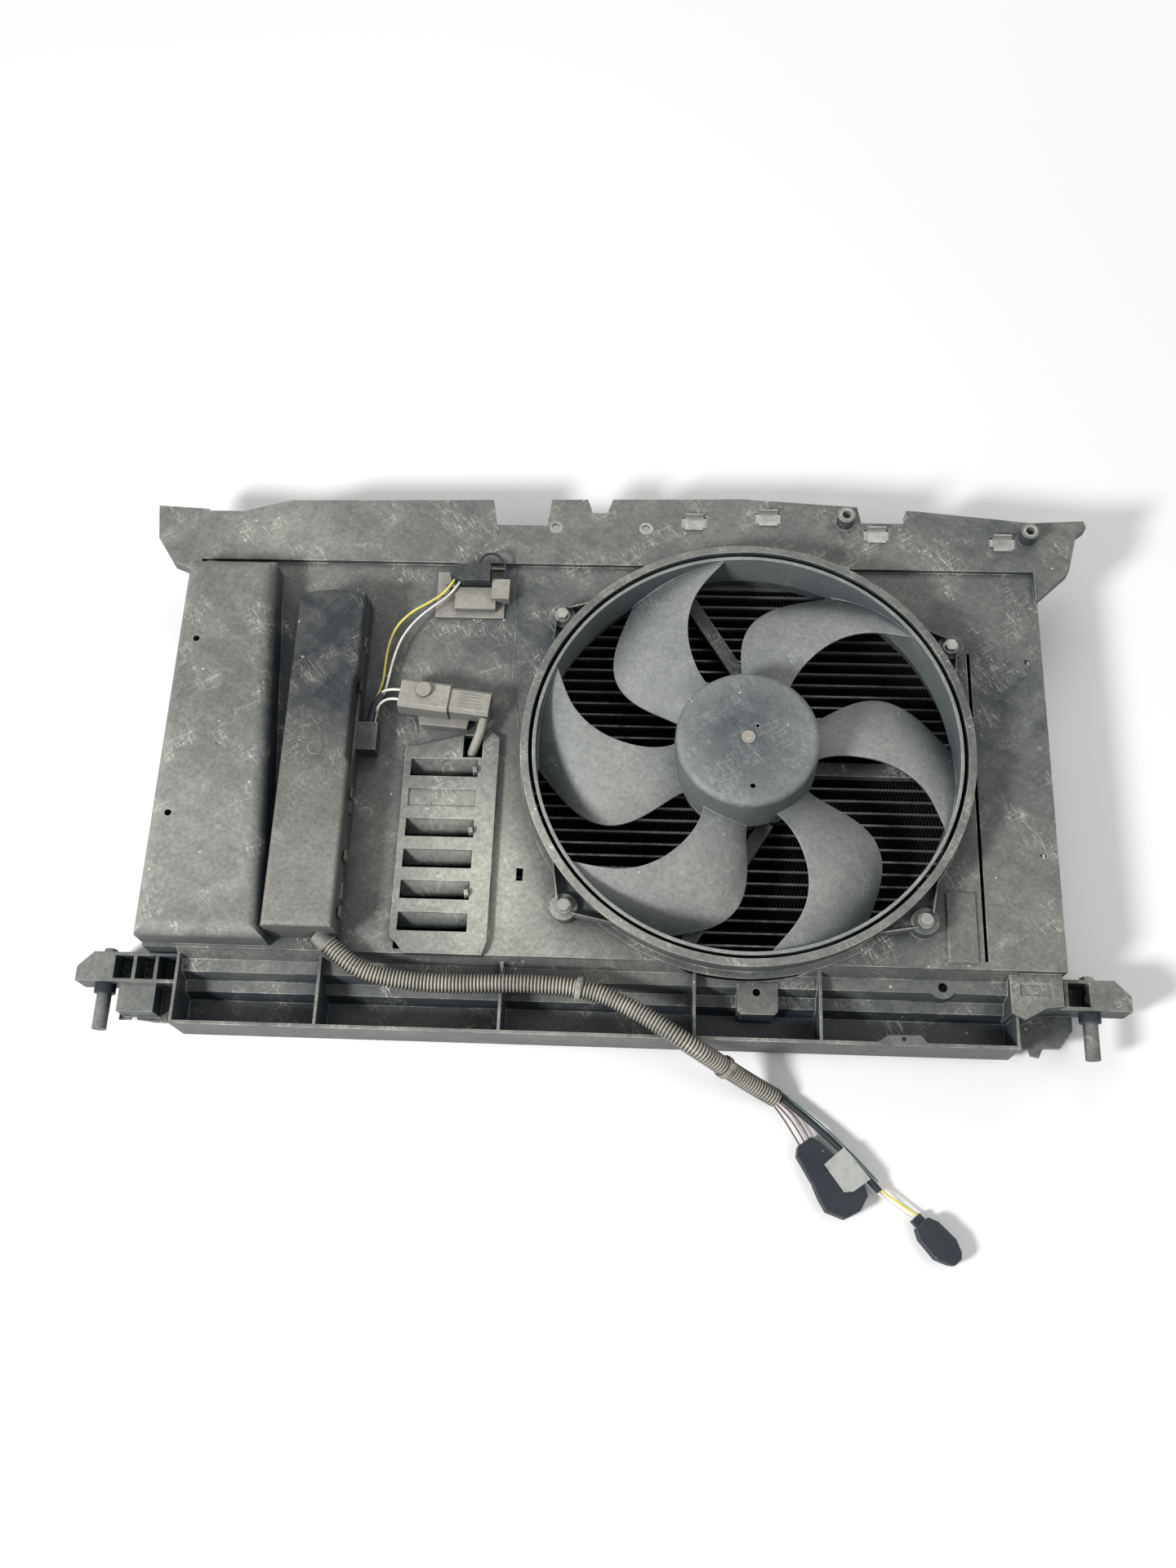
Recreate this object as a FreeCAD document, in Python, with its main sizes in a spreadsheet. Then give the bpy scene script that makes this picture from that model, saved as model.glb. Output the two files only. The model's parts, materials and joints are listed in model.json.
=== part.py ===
import FreeCAD, Part
import math
import operator
import os
import Sketcher
from FreeCAD import Placement, Rotation, Vector

# Cooling module of a small car: a crossflow radiator with moulded front panel, electric
# fan, fan control box and wiring. It lies on its back: +Z is the fan axis, +Y is the top
# edge of the panel, and the origin is under the middle of the whole part.

os.makedirs("parts", exist_ok=True)
doc = FreeCAD.newDocument("RadiatorAssembly")

# Driving dimensions in millimetres and degrees
DIMENSIONS = [
    ("centreX", 2, "middle of the radiator across"),
    ("centreY", -3, "middle of the radiator along"),
    ("coreLength", 696, "tubes between the two header plates"),
    ("coreHeight", 380, "tube stack from side plate to side plate"),
    ("coreDepth", 27, "tube width, front to back"),
    ("coreBase", 6, "floor to the back of the core"),
    ("tubePitch", 11.8, "tube to tube"),
    ("tubeThick", 1.8, "flat tube thickness"),
    ("finInset", 0.8, "fin strip set back from the tube edges"),
    ("tubeEnd", 3, "tube end standing through the header"),
    ("headerThick", 2, "header plate sheet"),
    ("headerDepth", 36, "header plate, front to back"),
    ("headerLip", 7, "crimped rim of the header"),
    ("sideSheet", 1.5, "side plate sheet"),
    ("sideLip", 6, "folded edge of the side plate"),
    ("gasketThick", 2, "tank gasket"),
    ("tankWidth", 48.7, "tank from gasket to its outer face"),
    ("tankDepth", 40, "tank, front to back"),
    ("tankWall", 3, "tank wall"),
    ("tankEnd", 6, "tank past the tube stack at each end"),
    ("tankCorner", 10, "rounded outer edges of the tank"),
    ("stubRadius", 14, "hose stub outside"),
    ("stubWall", 2.5, "hose stub wall"),
    ("stubReach", 48, "hose stub length"),
    ("drainRadius", 5, "drain plug head"),
    ("drainHeight", 11, "floor to the drain plug axis"),
    ("drainReach", 9, "drain plug head length"),
    ("fitGap", 0.3, "clearance between pieces that don't bear"),
    ("panelWall", 3, "panel wall"),
    ("faceTop", 70, "floor to the main face of the panel"),
    ("faceBelow", 196, "main face below the radiator middle"),
    ("faceAbove", 195, "main face above the radiator middle"),
    ("bulgeTop", 105, "floor to the top of the left bulge"),
    ("bulgeWide", 84, "bulge width at its upper end"),
    ("bulgeFoot", 114, "bulge width at its lower end"),
    ("bulgeHead", 174, "upper end of the bulge"),
    ("bulgeRoll", 13, "rolled edges of the bulge"),
    ("flangeTop", 75, "floor to the face of the top flange"),
    ("flangeLip", 14, "turned edge of the top flange"),
    ("flangeHead", 265, "highest line of the top flange"),
    ("flangeEnd", 243, "top flange at its two ends"),
    ("earReach", 51, "top ears past the panel side"),
    ("earDrop", 70, "height of the top ears"),
    ("channelLeft", -372, "left end of the bottom channel"),
    ("channelRight", 364, "right end of the bottom channel"),
    ("channelFloor", 15, "floor of the channel"),
    ("channelDeep", 234, "foot of the stepped slope"),
    ("channelLip", 265, "outer face of the channel lip"),
    ("lipTop", 60, "floor to the top of the lip"),
    ("ribThick", 2.5, "channel ribs"),
    ("lugTip", 465, "lug tips either side of the middle"),
    ("lugHead", 200, "upper face of the lugs"),
    ("lugFoot", 227, "lower face of the lugs"),
    ("lugBase", 21, "floor to the lugs"),
    ("lugTop", 49, "floor to the top of the lugs"),
    ("pegLeft", -441.5, "left locating peg"),
    ("pegRight", 431.5, "right locating peg"),
    ("pegHeight", 35, "floor to the peg axis"),
    ("pegRadius", 6.5, "locating peg"),
    ("pegFoot", 267.5, "lower end of the pegs"),
    ("pegSeat", 5, "peg inside its bush"),
    ("pegNeck", 3.25, "peg through the lug"),
    ("bushLong", 8, "rubber bush on the peg"),
    ("fanX", 129, "fan axis across"),
    ("fanY", -8, "fan axis along"),
    ("fanRadius", 192.5, "outside of the turning ring"),
    ("fanRingWall", 3, "wall of the turning ring"),
    ("fanRingBase", 62, "floor to the turning ring"),
    ("fanRingTop", 103, "floor to the rim of the turning ring"),
    ("hubRadius", 65.5, "hub outside"),
    ("hubWall", 3, "hub wall"),
    ("hubTop", 122, "floor to the hub face"),
    ("hubBase", 70, "floor to the hub skirt"),
    ("hubRound", 7, "rounded edge of the hub"),
    ("bossRadius", 10, "hub boss on the shaft"),
    ("bladeCount", 6, "fan blades"),
    ("bladeThick", 2.6, "blade thickness"),
    ("bladeCamber", 5.5, "rise of the blade over its chord"),
    ("bladeTurn", 180, "angle of the first blade"),
    ("ringGap", 3.5, "running gap round the turning ring"),
    ("ringWall", 3.5, "wall of the fixed ring"),
    ("ringBase", 40, "floor to the fixed ring"),
    ("ringTop", 105, "floor to the rim of the fixed ring"),
    ("ringFlange", 6, "seat of the fixed ring on the panel"),
    ("boltCircle", 218, "ring bolts from the fan axis"),
    ("earTop", 88, "floor to the bolt ears"),
    ("earThick", 8, "bolt ear boss"),
    ("earBoss", 12, "bolt ear boss radius"),
    ("bushRadius", 5, "steel bush outside"),
    ("boltRadius", 3, "ring bolt shank"),
    ("boltHead", 10, "ring bolt across flats"),
    ("armWide", 13, "motor arm width"),
    ("armTop", 50, "floor to the top of the motor arms"),
    ("seatTop", 46, "floor to the motor seat"),
    ("seatRadius", 60, "motor seat outside"),
    ("canRadius", 46, "motor can outside"),
    ("canWall", 2.5, "motor can sheet"),
    ("canTop", 102, "floor to the top of the can"),
    ("canFlange", 57, "motor can flange"),
    ("magnetThick", 5, "motor magnets"),
    ("airGap", 1, "armature to magnets"),
    ("bearingRadius", 11, "motor bearing outside"),
    ("bearingWide", 7, "motor bearing width"),
    ("shaftRadius", 4, "motor shaft"),
    ("shaftFit", 0.03, "bearing bore over the shaft"),
    ("shaftBase", 40, "floor to the shaft end"),
    ("pinTop", 124, "floor to the shaft tip"),
    ("clipRadius", 6, "push-on clip on the shaft"),
    ("boxLeft", -288, "control box left side"),
    ("boxRight", -226, "control box right side"),
    ("boxFoot", -188, "control box lower end"),
    ("boxHead", 139, "control box upper end"),
    ("boxTop", 112, "floor to the box cover"),
    ("boxWall", 2.5, "control box wall"),
    ("coverDeep", 20, "depth of the box cover"),
    ("coverRound", 4, "rounded edges of the box cover"),
    ("slotLeft", -176, "louvre slots left end"),
    ("slotRight", -114, "louvre slots right end"),
    ("slotPitch", 29.2, "louvre slot to slot"),
    ("slotHead", -17, "top of the louvre block"),
    ("slotTall", 17, "louvre slot height"),
    ("plateauRise", 6, "louvre block above the face"),
    ("conduitRadius", 8.5, "corrugated conduit outside"),
    ("wireRadius", 1.1, "single wire outside"),
    ("sleeveRadius", 3.5, "fan lead sleeve"),
    ("tailRadius", 3, "taped tail of the harness"),
    ("thinRadius", 0.8, "thin signal wire outside"),
]

OPERATORS = {
    "+": operator.add,
    "-": operator.sub,
    "*": operator.mul,
    "/": operator.truediv,
}


# A size knows its number and the sheet expression that it comes from
class Size:
    def __init__(self, value, text):
        self.value = value
        self.text = text

    def __add__(self, other):
        return combine(self, "+", other)

    def __radd__(self, other):
        return combine(other, "+", self)

    def __sub__(self, other):
        return combine(self, "-", other)

    def __rsub__(self, other):
        return combine(other, "-", self)

    def __mul__(self, other):
        return combine(self, "*", other)

    def __rmul__(self, other):
        return combine(other, "*", self)

    def __truediv__(self, other):
        return combine(self, "/", other)

    def __rtruediv__(self, other):
        return combine(other, "/", self)

    def __neg__(self):
        return combine(0, "-", self)


def sized(amount):
    if isinstance(amount, Size):
        return amount
    return Size(float(amount), f"({float(amount)!r})")


def combine(left, sign, right):
    first = sized(left)
    second = sized(right)
    value = OPERATORS[sign](first.value, second.value)
    return Size(value, f"({first.text} {sign} {second.text})")


def sine(angle):
    turn = sized(angle)
    return Size(math.sin(math.radians(turn.value)), f"sin({turn.text})")


def cosine(angle):
    turn = sized(angle)
    return Size(math.cos(math.radians(turn.value)), f"cos({turn.text})")


def root(amount):
    inner = sized(amount)
    return Size(math.sqrt(inner.value), f"sqrt({inner.text})")


def makeSheet():
    sheet = doc.addObject("Spreadsheet::Sheet", "Sizes")
    sizes = {}
    for row, (alias, value, meaning) in enumerate(DIMENSIONS, start=1):
        sheet.set(f"A{row}", meaning)
        sheet.set(f"B{row}", str(value))
        sheet.setAlias(f"B{row}", alias)
        sizes[alias] = Size(float(value), f"Sizes.{alias}")
    doc.recompute()
    return sizes


S = makeSheet()
NODES = []


def bind(thing, path, amount):
    thing.setExpression(path, sized(amount).text)


def node(thing, name):
    thing.Label = name
    NODES.append(thing)
    return thing


def put(thing, x, y, z):
    bind(thing, "Placement.Base.x", x)
    bind(thing, "Placement.Base.y", y)
    bind(thing, "Placement.Base.z", z)
    return thing


def block(name, x, y, z):
    box = doc.addObject("Part::Box", name)
    bind(box, "Length", x[1] - x[0])
    bind(box, "Width", y[1] - y[0])
    bind(box, "Height", z[1] - z[0])
    return put(box, x[0], y[0], z[0])


ALONG = {
    "X": Rotation(Vector(0, 1, 0), 90),
    "Y": Rotation(Vector(1, 0, 0), -90),
    "Z": Rotation(),
}


def rod(name, radius, length, start, axis="Z"):
    cylinder = doc.addObject("Part::Cylinder", name)
    cylinder.Placement = Placement(Vector(), ALONG[axis])
    bind(cylinder, "Radius", radius)
    bind(cylinder, "Height", length)
    return put(cylinder, *start)


def hexagon(name, flats, length, start, axis="Z"):
    prism = doc.addObject("Part::Prism", name)
    prism.Polygon = 6
    prism.Placement = Placement(Vector(), ALONG[axis])
    bind(prism, "Circumradius", sized(flats) / math.sqrt(3))
    bind(prism, "Height", length)
    return put(prism, *start)


def group(name, pieces):
    compound = doc.addObject("Part::Compound", name)
    compound.Links = pieces
    return compound


def fuse(name, pieces):
    union = doc.addObject("Part::MultiFuse", name)
    union.Shapes = pieces
    return union


def cut(name, base, tools):
    hollow = doc.addObject("Part::Cut", name)
    hollow.Base = base
    hollow.Tool = tools[0] if len(tools) == 1 else fuse(name + "_tools", tools)
    return hollow


def tube(name, outer, inner, length, start, axis="Z"):
    return cut(
        name,
        rod(name + "_outside", outer, length, start, axis),
        [rod(name + "_bore", inner, length, start, axis)],
    )


# Sketches and features of a moulded or machined piece
class Moulding:
    def __init__(self, name):
        self.name = name
        self.body = doc.addObject("PartDesign::Body", name)
        self.count = 0

    def plane(self, role):
        return next(f for f in self.body.Origin.OriginFeatures if f.Role == role)

    def sketch(self, role="XY_Plane", offset=0):
        self.count += 1
        made = self.body.newObject("Sketcher::SketchObject", f"{self.name}_sketch{self.count}")
        made.AttachmentSupport = [(self.plane(role), "")]
        made.MapMode = "FlatFace"
        bind(made, "AttachmentOffset.Base.z", offset)
        return made

    def feature(self, kind, sketch):
        self.count += 1
        made = self.body.newObject(f"PartDesign::{kind}", f"{self.name}_{kind}{self.count}")
        if sketch is not None:
            made.Profile = sketch
        self.body.Tip = made
        return made

    def pad(self, sketch, length, back=False):
        made = self.feature("Pad", sketch)
        bind(made, "Length", length)
        made.Reversed = back
        return made

    def pocket(self, sketch, length, back=False):
        made = self.feature("Pocket", sketch)
        bind(made, "Length", length)
        made.Reversed = back
        return made

    def turn(self, sketch, kind="Revolution"):
        made = self.feature(kind, sketch)
        made.ReferenceAxis = (sketch, ["V_Axis"])
        made.Angle = 360
        return made

    def round(self, radius, wanted):
        doc.recompute()
        tip = self.body.Tip
        names = [
            f"Edge{number}"
            for number, edge in enumerate(tip.Shape.Edges, start=1)
            if wanted(edge)
        ]
        made = self.feature("Fillet", None)
        made.Base = (tip, names)
        bind(made, "Radius", radius)
        return made


def pin(sketch, geometry, point, across, along):
    for kind, amount, axis in (("DistanceX", across, -2), ("DistanceY", along, -1)):
        if not isinstance(amount, Size) and amount == 0:
            sketch.addConstraint(Sketcher.Constraint("PointOnObject", geometry, point, axis))
            continue
        value = sized(amount)
        row = sketch.addConstraint(
            Sketcher.Constraint(kind, -1, 1, geometry, point, value.value)
        )
        sketch.setExpression(f"Constraints[{row}]", value.text)


def at(across, along):
    return Vector(sized(across).value, sized(along).value, 0)


# A closed outline with straight sides, each corner held at its place
def outline(sketch, corners):
    first = sketch.GeometryCount
    count = len(corners)
    for index in range(count):
        here = corners[index]
        following = corners[(index + 1) % count]
        sketch.addGeometry(Part.LineSegment(at(*here), at(*following)), False)
    for index in range(count):
        side = first + index
        after = first + (index + 1) % count
        sketch.addConstraint(Sketcher.Constraint("Coincident", side, 2, after, 1))
        pin(sketch, side, 1, *corners[index])
    return sketch


def rectangle(sketch, x, y):
    return outline(sketch, [(x[0], y[0]), (x[1], y[0]), (x[1], y[1]), (x[0], y[1])])


def circle(sketch, x, y, radius):
    size = sized(radius)
    geometry = sketch.addGeometry(Part.Circle(at(x, y), Vector(0, 0, 1), size.value), False)
    pin(sketch, geometry, 3, x, y)
    row = sketch.addConstraint(Sketcher.Constraint("Radius", geometry, size.value))
    sketch.setExpression(f"Constraints[{row}]", size.text)
    return sketch


# An arc between two held points that rises above its chord
def arch(sketch, start, end, rise):
    chord = root((end[0] - start[0]) * (end[0] - start[0]) + (end[1] - start[1]) * (end[1] - start[1]))
    radius = (chord * chord / 4 + rise * rise) / (2 * rise)
    left = at(*start)
    right = at(*end)
    middle = (left + right) * 0.5
    normal = Vector(left.y - right.y, right.x - left.x, 0).normalize()
    geometry = sketch.addGeometry(Part.Arc(left, middle + normal * rise.value, right), False)
    flipped = sketch.getPoint(geometry, 1).distanceToPoint(left) > 0.01
    first, second = (2, 1) if flipped else (1, 2)
    pin(sketch, geometry, first, *start)
    pin(sketch, geometry, second, *end)
    row = sketch.addConstraint(Sketcher.Constraint("Radius", geometry, radius.value))
    sketch.setExpression(f"Constraints[{row}]", radius.text)
    return geometry


def line(sketch, start, end):
    geometry = sketch.addGeometry(Part.LineSegment(at(*start), at(*end)), False)
    pin(sketch, geometry, 1, *start)
    pin(sketch, geometry, 2, *end)
    return geometry


# Radiator core, flat tubes across and fin strips between them

TUBE_SPAN = S["coreHeight"] - S["tubeThick"]
TUBE_COUNT = int(TUBE_SPAN.value / S["tubePitch"].value)
CORE_LEFT = S["centreX"] - S["coreLength"] / 2
CORE_RIGHT = S["centreX"] + S["coreLength"] / 2
CORE_LOW = S["centreY"] - S["coreHeight"] / 2
CORE_HIGH = S["centreY"] + S["coreHeight"] / 2
CORE_FRONT = S["coreBase"] + S["coreDepth"]
HEADER_LEFT = CORE_LEFT - S["headerThick"]
HEADER_RIGHT = CORE_RIGHT + S["headerThick"]
FIRST_TUBE = S["centreY"] - S["tubePitch"] * (TUBE_COUNT - 1) / 2


def makeTubes():
    tubes = []
    for index in range(TUBE_COUNT):
        middle = FIRST_TUBE + S["tubePitch"] * index
        tubes.append(block(
            f"core_tube_{index + 1}",
            (HEADER_LEFT - S["tubeEnd"], HEADER_RIGHT + S["tubeEnd"]),
            (middle - S["tubeThick"] / 2, middle + S["tubeThick"] / 2),
            (S["coreBase"], CORE_FRONT),
        ))
    return node(group("radiator_tubes", tubes), "radiator_tubes")


def makeFins():
    strips = []
    for index in range(TUBE_COUNT + 1):
        low = FIRST_TUBE + S["tubePitch"] * (index - 1) + S["tubeThick"] / 2
        high = FIRST_TUBE + S["tubePitch"] * index - S["tubeThick"] / 2
        if index == 0:
            low = CORE_LOW
        if index == TUBE_COUNT:
            high = CORE_HIGH
        strips.append(block(
            f"core_fin_{index + 1}",
            (CORE_LEFT, CORE_RIGHT),
            (low, high),
            (S["coreBase"] + S["finInset"], CORE_FRONT - S["finInset"]),
        ))
    return node(group("radiator_fins", strips), "radiator_fins")


TANK_LOW = CORE_LOW - S["tankEnd"]
TANK_HIGH = CORE_HIGH + S["tankEnd"]
HEADER_BASE = S["coreBase"] + S["coreDepth"] / 2 - S["headerDepth"] / 2


# Each header is a shallow tray with a slot for every tube and a rim round the tank foot
def makeHeaders(tubes):
    plates = []
    for side, sign, inner in (("left", -1, CORE_LEFT), ("right", 1, CORE_RIGHT)):
        face = inner + sign * S["headerThick"]
        rim = face + sign * S["headerLip"]
        spans = [(face, inner), (rim, inner)] if sign < 0 else [(inner, face), (inner, rim)]
        wide = (HEADER_BASE, HEADER_BASE + S["headerDepth"])
        long = (TANK_LOW, TANK_HIGH)
        tray = block(f"header_{side}_tray", spans[1], long, wide)
        hollow = (face, rim) if sign > 0 else (rim, face)
        room = block(
            f"header_{side}_room",
            hollow,
            (long[0] + S["headerThick"], long[1] - S["headerThick"]),
            (wide[0] + S["headerThick"], wide[1] - S["headerThick"]),
        )
        plain = cut(f"header_{side}", tray, [room])
        plates.append(cut(f"header_{side}_slotted", plain, [tubes]))
    return node(group("header_plates", plates), "header_plates")


def makeSidePlates():
    plates = []
    for name, low, sign in (("lower", CORE_LOW, -1), ("upper", CORE_HIGH, 1)):
        spans = (low - S["sideSheet"], low) if sign < 0 else (low, low + S["sideSheet"])
        web = block(
            f"side_{name}_web",
            (CORE_LEFT, CORE_RIGHT),
            spans,
            (S["coreBase"], CORE_FRONT),
        )
        folds = []
        for place, base in (("back", S["coreBase"]), ("front", CORE_FRONT - S["sideSheet"])):
            reach = (low - S["sideLip"], low) if sign < 0 else (low, low + S["sideLip"])
            folds.append(block(
                f"side_{name}_{place}",
                (CORE_LEFT, CORE_RIGHT),
                reach,
                (base, base + S["sideSheet"]),
            ))
        plates.append(fuse(f"side_{name}", [web] + folds))
    return node(group("side_plates", plates), "side_plates")


# Rubber frames between the headers and the tank feet
def makeGaskets():
    frames = []
    inset = S["headerThick"] + S["fitGap"]
    for side, face, sign in (("left", HEADER_LEFT, -1), ("right", HEADER_RIGHT, 1)):
        far = face + sign * S["gasketThick"]
        spans = (far, face) if sign < 0 else (face, far)
        low = TANK_LOW + inset
        high = TANK_HIGH - inset
        base = HEADER_BASE + inset
        top = HEADER_BASE + S["headerDepth"] - inset
        wide = S["tankWall"]
        frame = block(f"gasket_{side}_frame", spans, (low, high), (base, top))
        hole = block(
            f"gasket_{side}_hole",
            spans,
            (low + wide, high - wide),
            (base + wide / 2, top - wide / 2),
        )
        frames.append(cut(f"gasket_{side}", frame, [hole]))
    return node(group("tank_gaskets", frames), "tank_gaskets")


STUB_HEIGHT = S["tankDepth"] / 2


# Moulded end tank: a foot in the header tray, a rounded shell, and a hose stub on top
def makeTank(name, sign):
    face = HEADER_RIGHT if sign > 0 else HEADER_LEFT
    near = face + sign * S["gasketThick"]
    far = face + sign * (S["gasketThick"] + S["tankWidth"])
    step = face + sign * (S["headerLip"] + S["fitGap"])
    inset = S["headerThick"] + S["fitGap"]
    made = Moulding(name)
    shell = made.sketch("XY_Plane", 0)
    rectangle(shell, (step, far), (TANK_LOW, TANK_HIGH))
    made.pad(shell, S["tankDepth"])
    outer = far.value
    corner = S["tankCorner"]

    def longOuterEdge(edge):
        ends = [vertex.Point for vertex in edge.Vertexes]
        return all(abs(point.x - outer) < 0.01 for point in ends) and edge.Length > 100

    made.round(corner, longOuterEdge)
    foot = made.sketch("XY_Plane", HEADER_BASE + inset)
    rectangle(foot, (near, step + sign), (TANK_LOW + inset, TANK_HIGH - inset))
    made.pad(foot, S["headerDepth"] - 2 * inset)
    middle = (step + far) / 2
    stub = made.sketch("XZ_Plane", -TANK_HIGH)
    circle(stub, middle, STUB_HEIGHT, S["stubRadius"])
    made.pad(stub, S["stubReach"], back=True)
    room = made.sketch("XY_Plane", HEADER_BASE + inset + S["tankWall"] / 2)
    rectangle(
        room,
        (near - sign, far - sign * S["tankWall"]),
        (TANK_LOW + inset + S["tankWall"], TANK_HIGH - inset - S["tankWall"]),
    )
    made.pocket(room, S["headerDepth"] - 2 * inset - S["tankWall"], back=True)
    bore = made.sketch("XZ_Plane", -(TANK_HIGH + S["stubReach"] + 1))
    circle(bore, middle, STUB_HEIGHT, S["stubRadius"] - S["stubWall"])
    made.pocket(bore, S["stubReach"] + inset + 2 * S["tankWall"])
    return node(made.body, name)


def makeDrainPlug():
    middle = (HEADER_RIGHT + S["headerLip"] + HEADER_RIGHT + S["gasketThick"] + S["tankWidth"]) / 2
    start = TANK_LOW - S["drainReach"]
    head = rod("drain_head", S["drainRadius"], S["drainReach"], (middle, start, S["drainHeight"]), "Y")
    wing = block(
        "drain_wing",
        (middle - S["drainRadius"] * 1.4, middle + S["drainRadius"] * 1.4),
        (start, start + S["drainReach"] / 2),
        (S["drainHeight"] - S["drainRadius"] / 4, S["drainHeight"] + S["drainRadius"] / 4),
    )
    return node(fuse("drain_plug", [head, wing]), "drain_plug")


# Front panel

PANEL_HALF = (
    S["coreLength"] / 2 + S["headerThick"] + S["gasketThick"] + S["tankWidth"]
    + S["fitGap"] + S["panelWall"]
)
PANEL_LEFT = S["centreX"] - PANEL_HALF
PANEL_RIGHT = S["centreX"] + PANEL_HALF
PANEL_LOW = S["centreY"] - S["faceBelow"]
PANEL_HIGH = S["centreY"] + S["faceAbove"]
SKIRT = S["tankDepth"]
UNDER_FACE = S["faceTop"] - S["panelWall"]
WALL = S["panelWall"]
HOLE_RADIUS = S["fanRadius"] + S["ringGap"] + S["ringWall"] + WALL
FLANGE_RADIUS = S["fanRadius"] + S["ringGap"] + S["ringWall"] + S["ringFlange"]
BOLT_ANGLES = (142, 30, 223.5, 315)
RIB_PLACES = (-245, -84, 85, 194)
BULGE_RIGHT_HEAD = PANEL_LEFT + S["bulgeWide"]
BULGE_RIGHT_FOOT = PANEL_LEFT + S["bulgeFoot"]
BULGE_LOW = PANEL_LOW + WALL
FLANGE_UNDER = S["flangeTop"] - WALL
FLANGE_BASE = S["flangeTop"] - S["flangeLip"]


def boltPlace(angle):
    x = S["fanX"] + S["boltCircle"] * cosine(angle)
    y = S["fanY"] + S["boltCircle"] * sine(angle)
    return x, y


# Stepped profile of the bottom channel, from the main face down to the lip
def channelProfile(sketch):
    low = PANEL_LOW
    first = -(S["channelDeep"] - 29)
    second = -(S["channelDeep"] - 14)
    foot = -S["channelDeep"]
    lip = -S["channelLip"]
    top = S["faceTop"]
    upper = [
        (low + 1, top),
        (first, top - 18),
        (first - 11, top - 20),
        (second, S["channelFloor"] + 19),
        (second - 10, S["channelFloor"] + 17),
        (foot, S["channelFloor"]),
        (lip + WALL, S["channelFloor"]),
        (lip + WALL, S["lipTop"]),
    ]
    lower = [
        (lip, S["lipTop"]),
        (lip, S["channelFloor"] - WALL),
        (foot + WALL, S["channelFloor"] - WALL),
        (second - 10 + WALL, S["channelFloor"] + 17 - WALL),
        (second + WALL, S["channelFloor"] + 19 - WALL),
        (first - 11 + WALL, top - 20 - WALL),
        (first + WALL, top - 18 - WALL),
        (low + 1 + WALL, top - WALL),
    ]
    return outline(sketch, upper + lower)


def makePanel():
    made = Moulding("front_panel")
    base = made.sketch("XY_Plane", SKIRT)
    rectangle(base, (PANEL_LEFT, PANEL_RIGHT), (PANEL_LOW, PANEL_HIGH))
    made.pad(base, S["faceTop"] - SKIRT)

    bulge = made.sketch("XY_Plane", SKIRT)
    outline(bulge, [
        (PANEL_LEFT, BULGE_LOW),
        (BULGE_RIGHT_FOOT, BULGE_LOW),
        (BULGE_RIGHT_HEAD, S["bulgeHead"]),
        (PANEL_LEFT, S["bulgeHead"]),
    ])
    made.pad(bulge, S["bulgeTop"] - SKIRT)
    crown = S["bulgeTop"].value

    def onCrown(edge):
        return all(abs(vertex.Point.z - crown) < 0.01 for vertex in edge.Vertexes)

    made.round(S["bulgeRoll"], onCrown)

    room = made.sketch("XY_Plane", SKIRT)
    rectangle(room, (PANEL_LEFT + WALL, PANEL_RIGHT - WALL), (PANEL_LOW + WALL, PANEL_HIGH - WALL))
    made.pocket(room, UNDER_FACE - SKIRT, back=True)
    hollow = made.sketch("XY_Plane", SKIRT)
    outline(hollow, [
        (PANEL_LEFT + WALL, BULGE_LOW + WALL),
        (BULGE_RIGHT_FOOT - WALL, BULGE_LOW + WALL),
        (BULGE_RIGHT_HEAD - WALL, S["bulgeHead"] - WALL),
        (PANEL_LEFT + WALL, S["bulgeHead"] - WALL),
    ])
    made.pocket(hollow, S["bulgeTop"] - S["bulgeRoll"] / 2 - SKIRT, back=True)

    addFlange(made)
    addChannel(made)
    addLugs(made)
    addChannelBosses(made)
    addLouvres(made)
    addStandRibs(made)
    addFanOpening(made)
    addBosses(made)
    return node(made.body, "front_panel")


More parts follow.
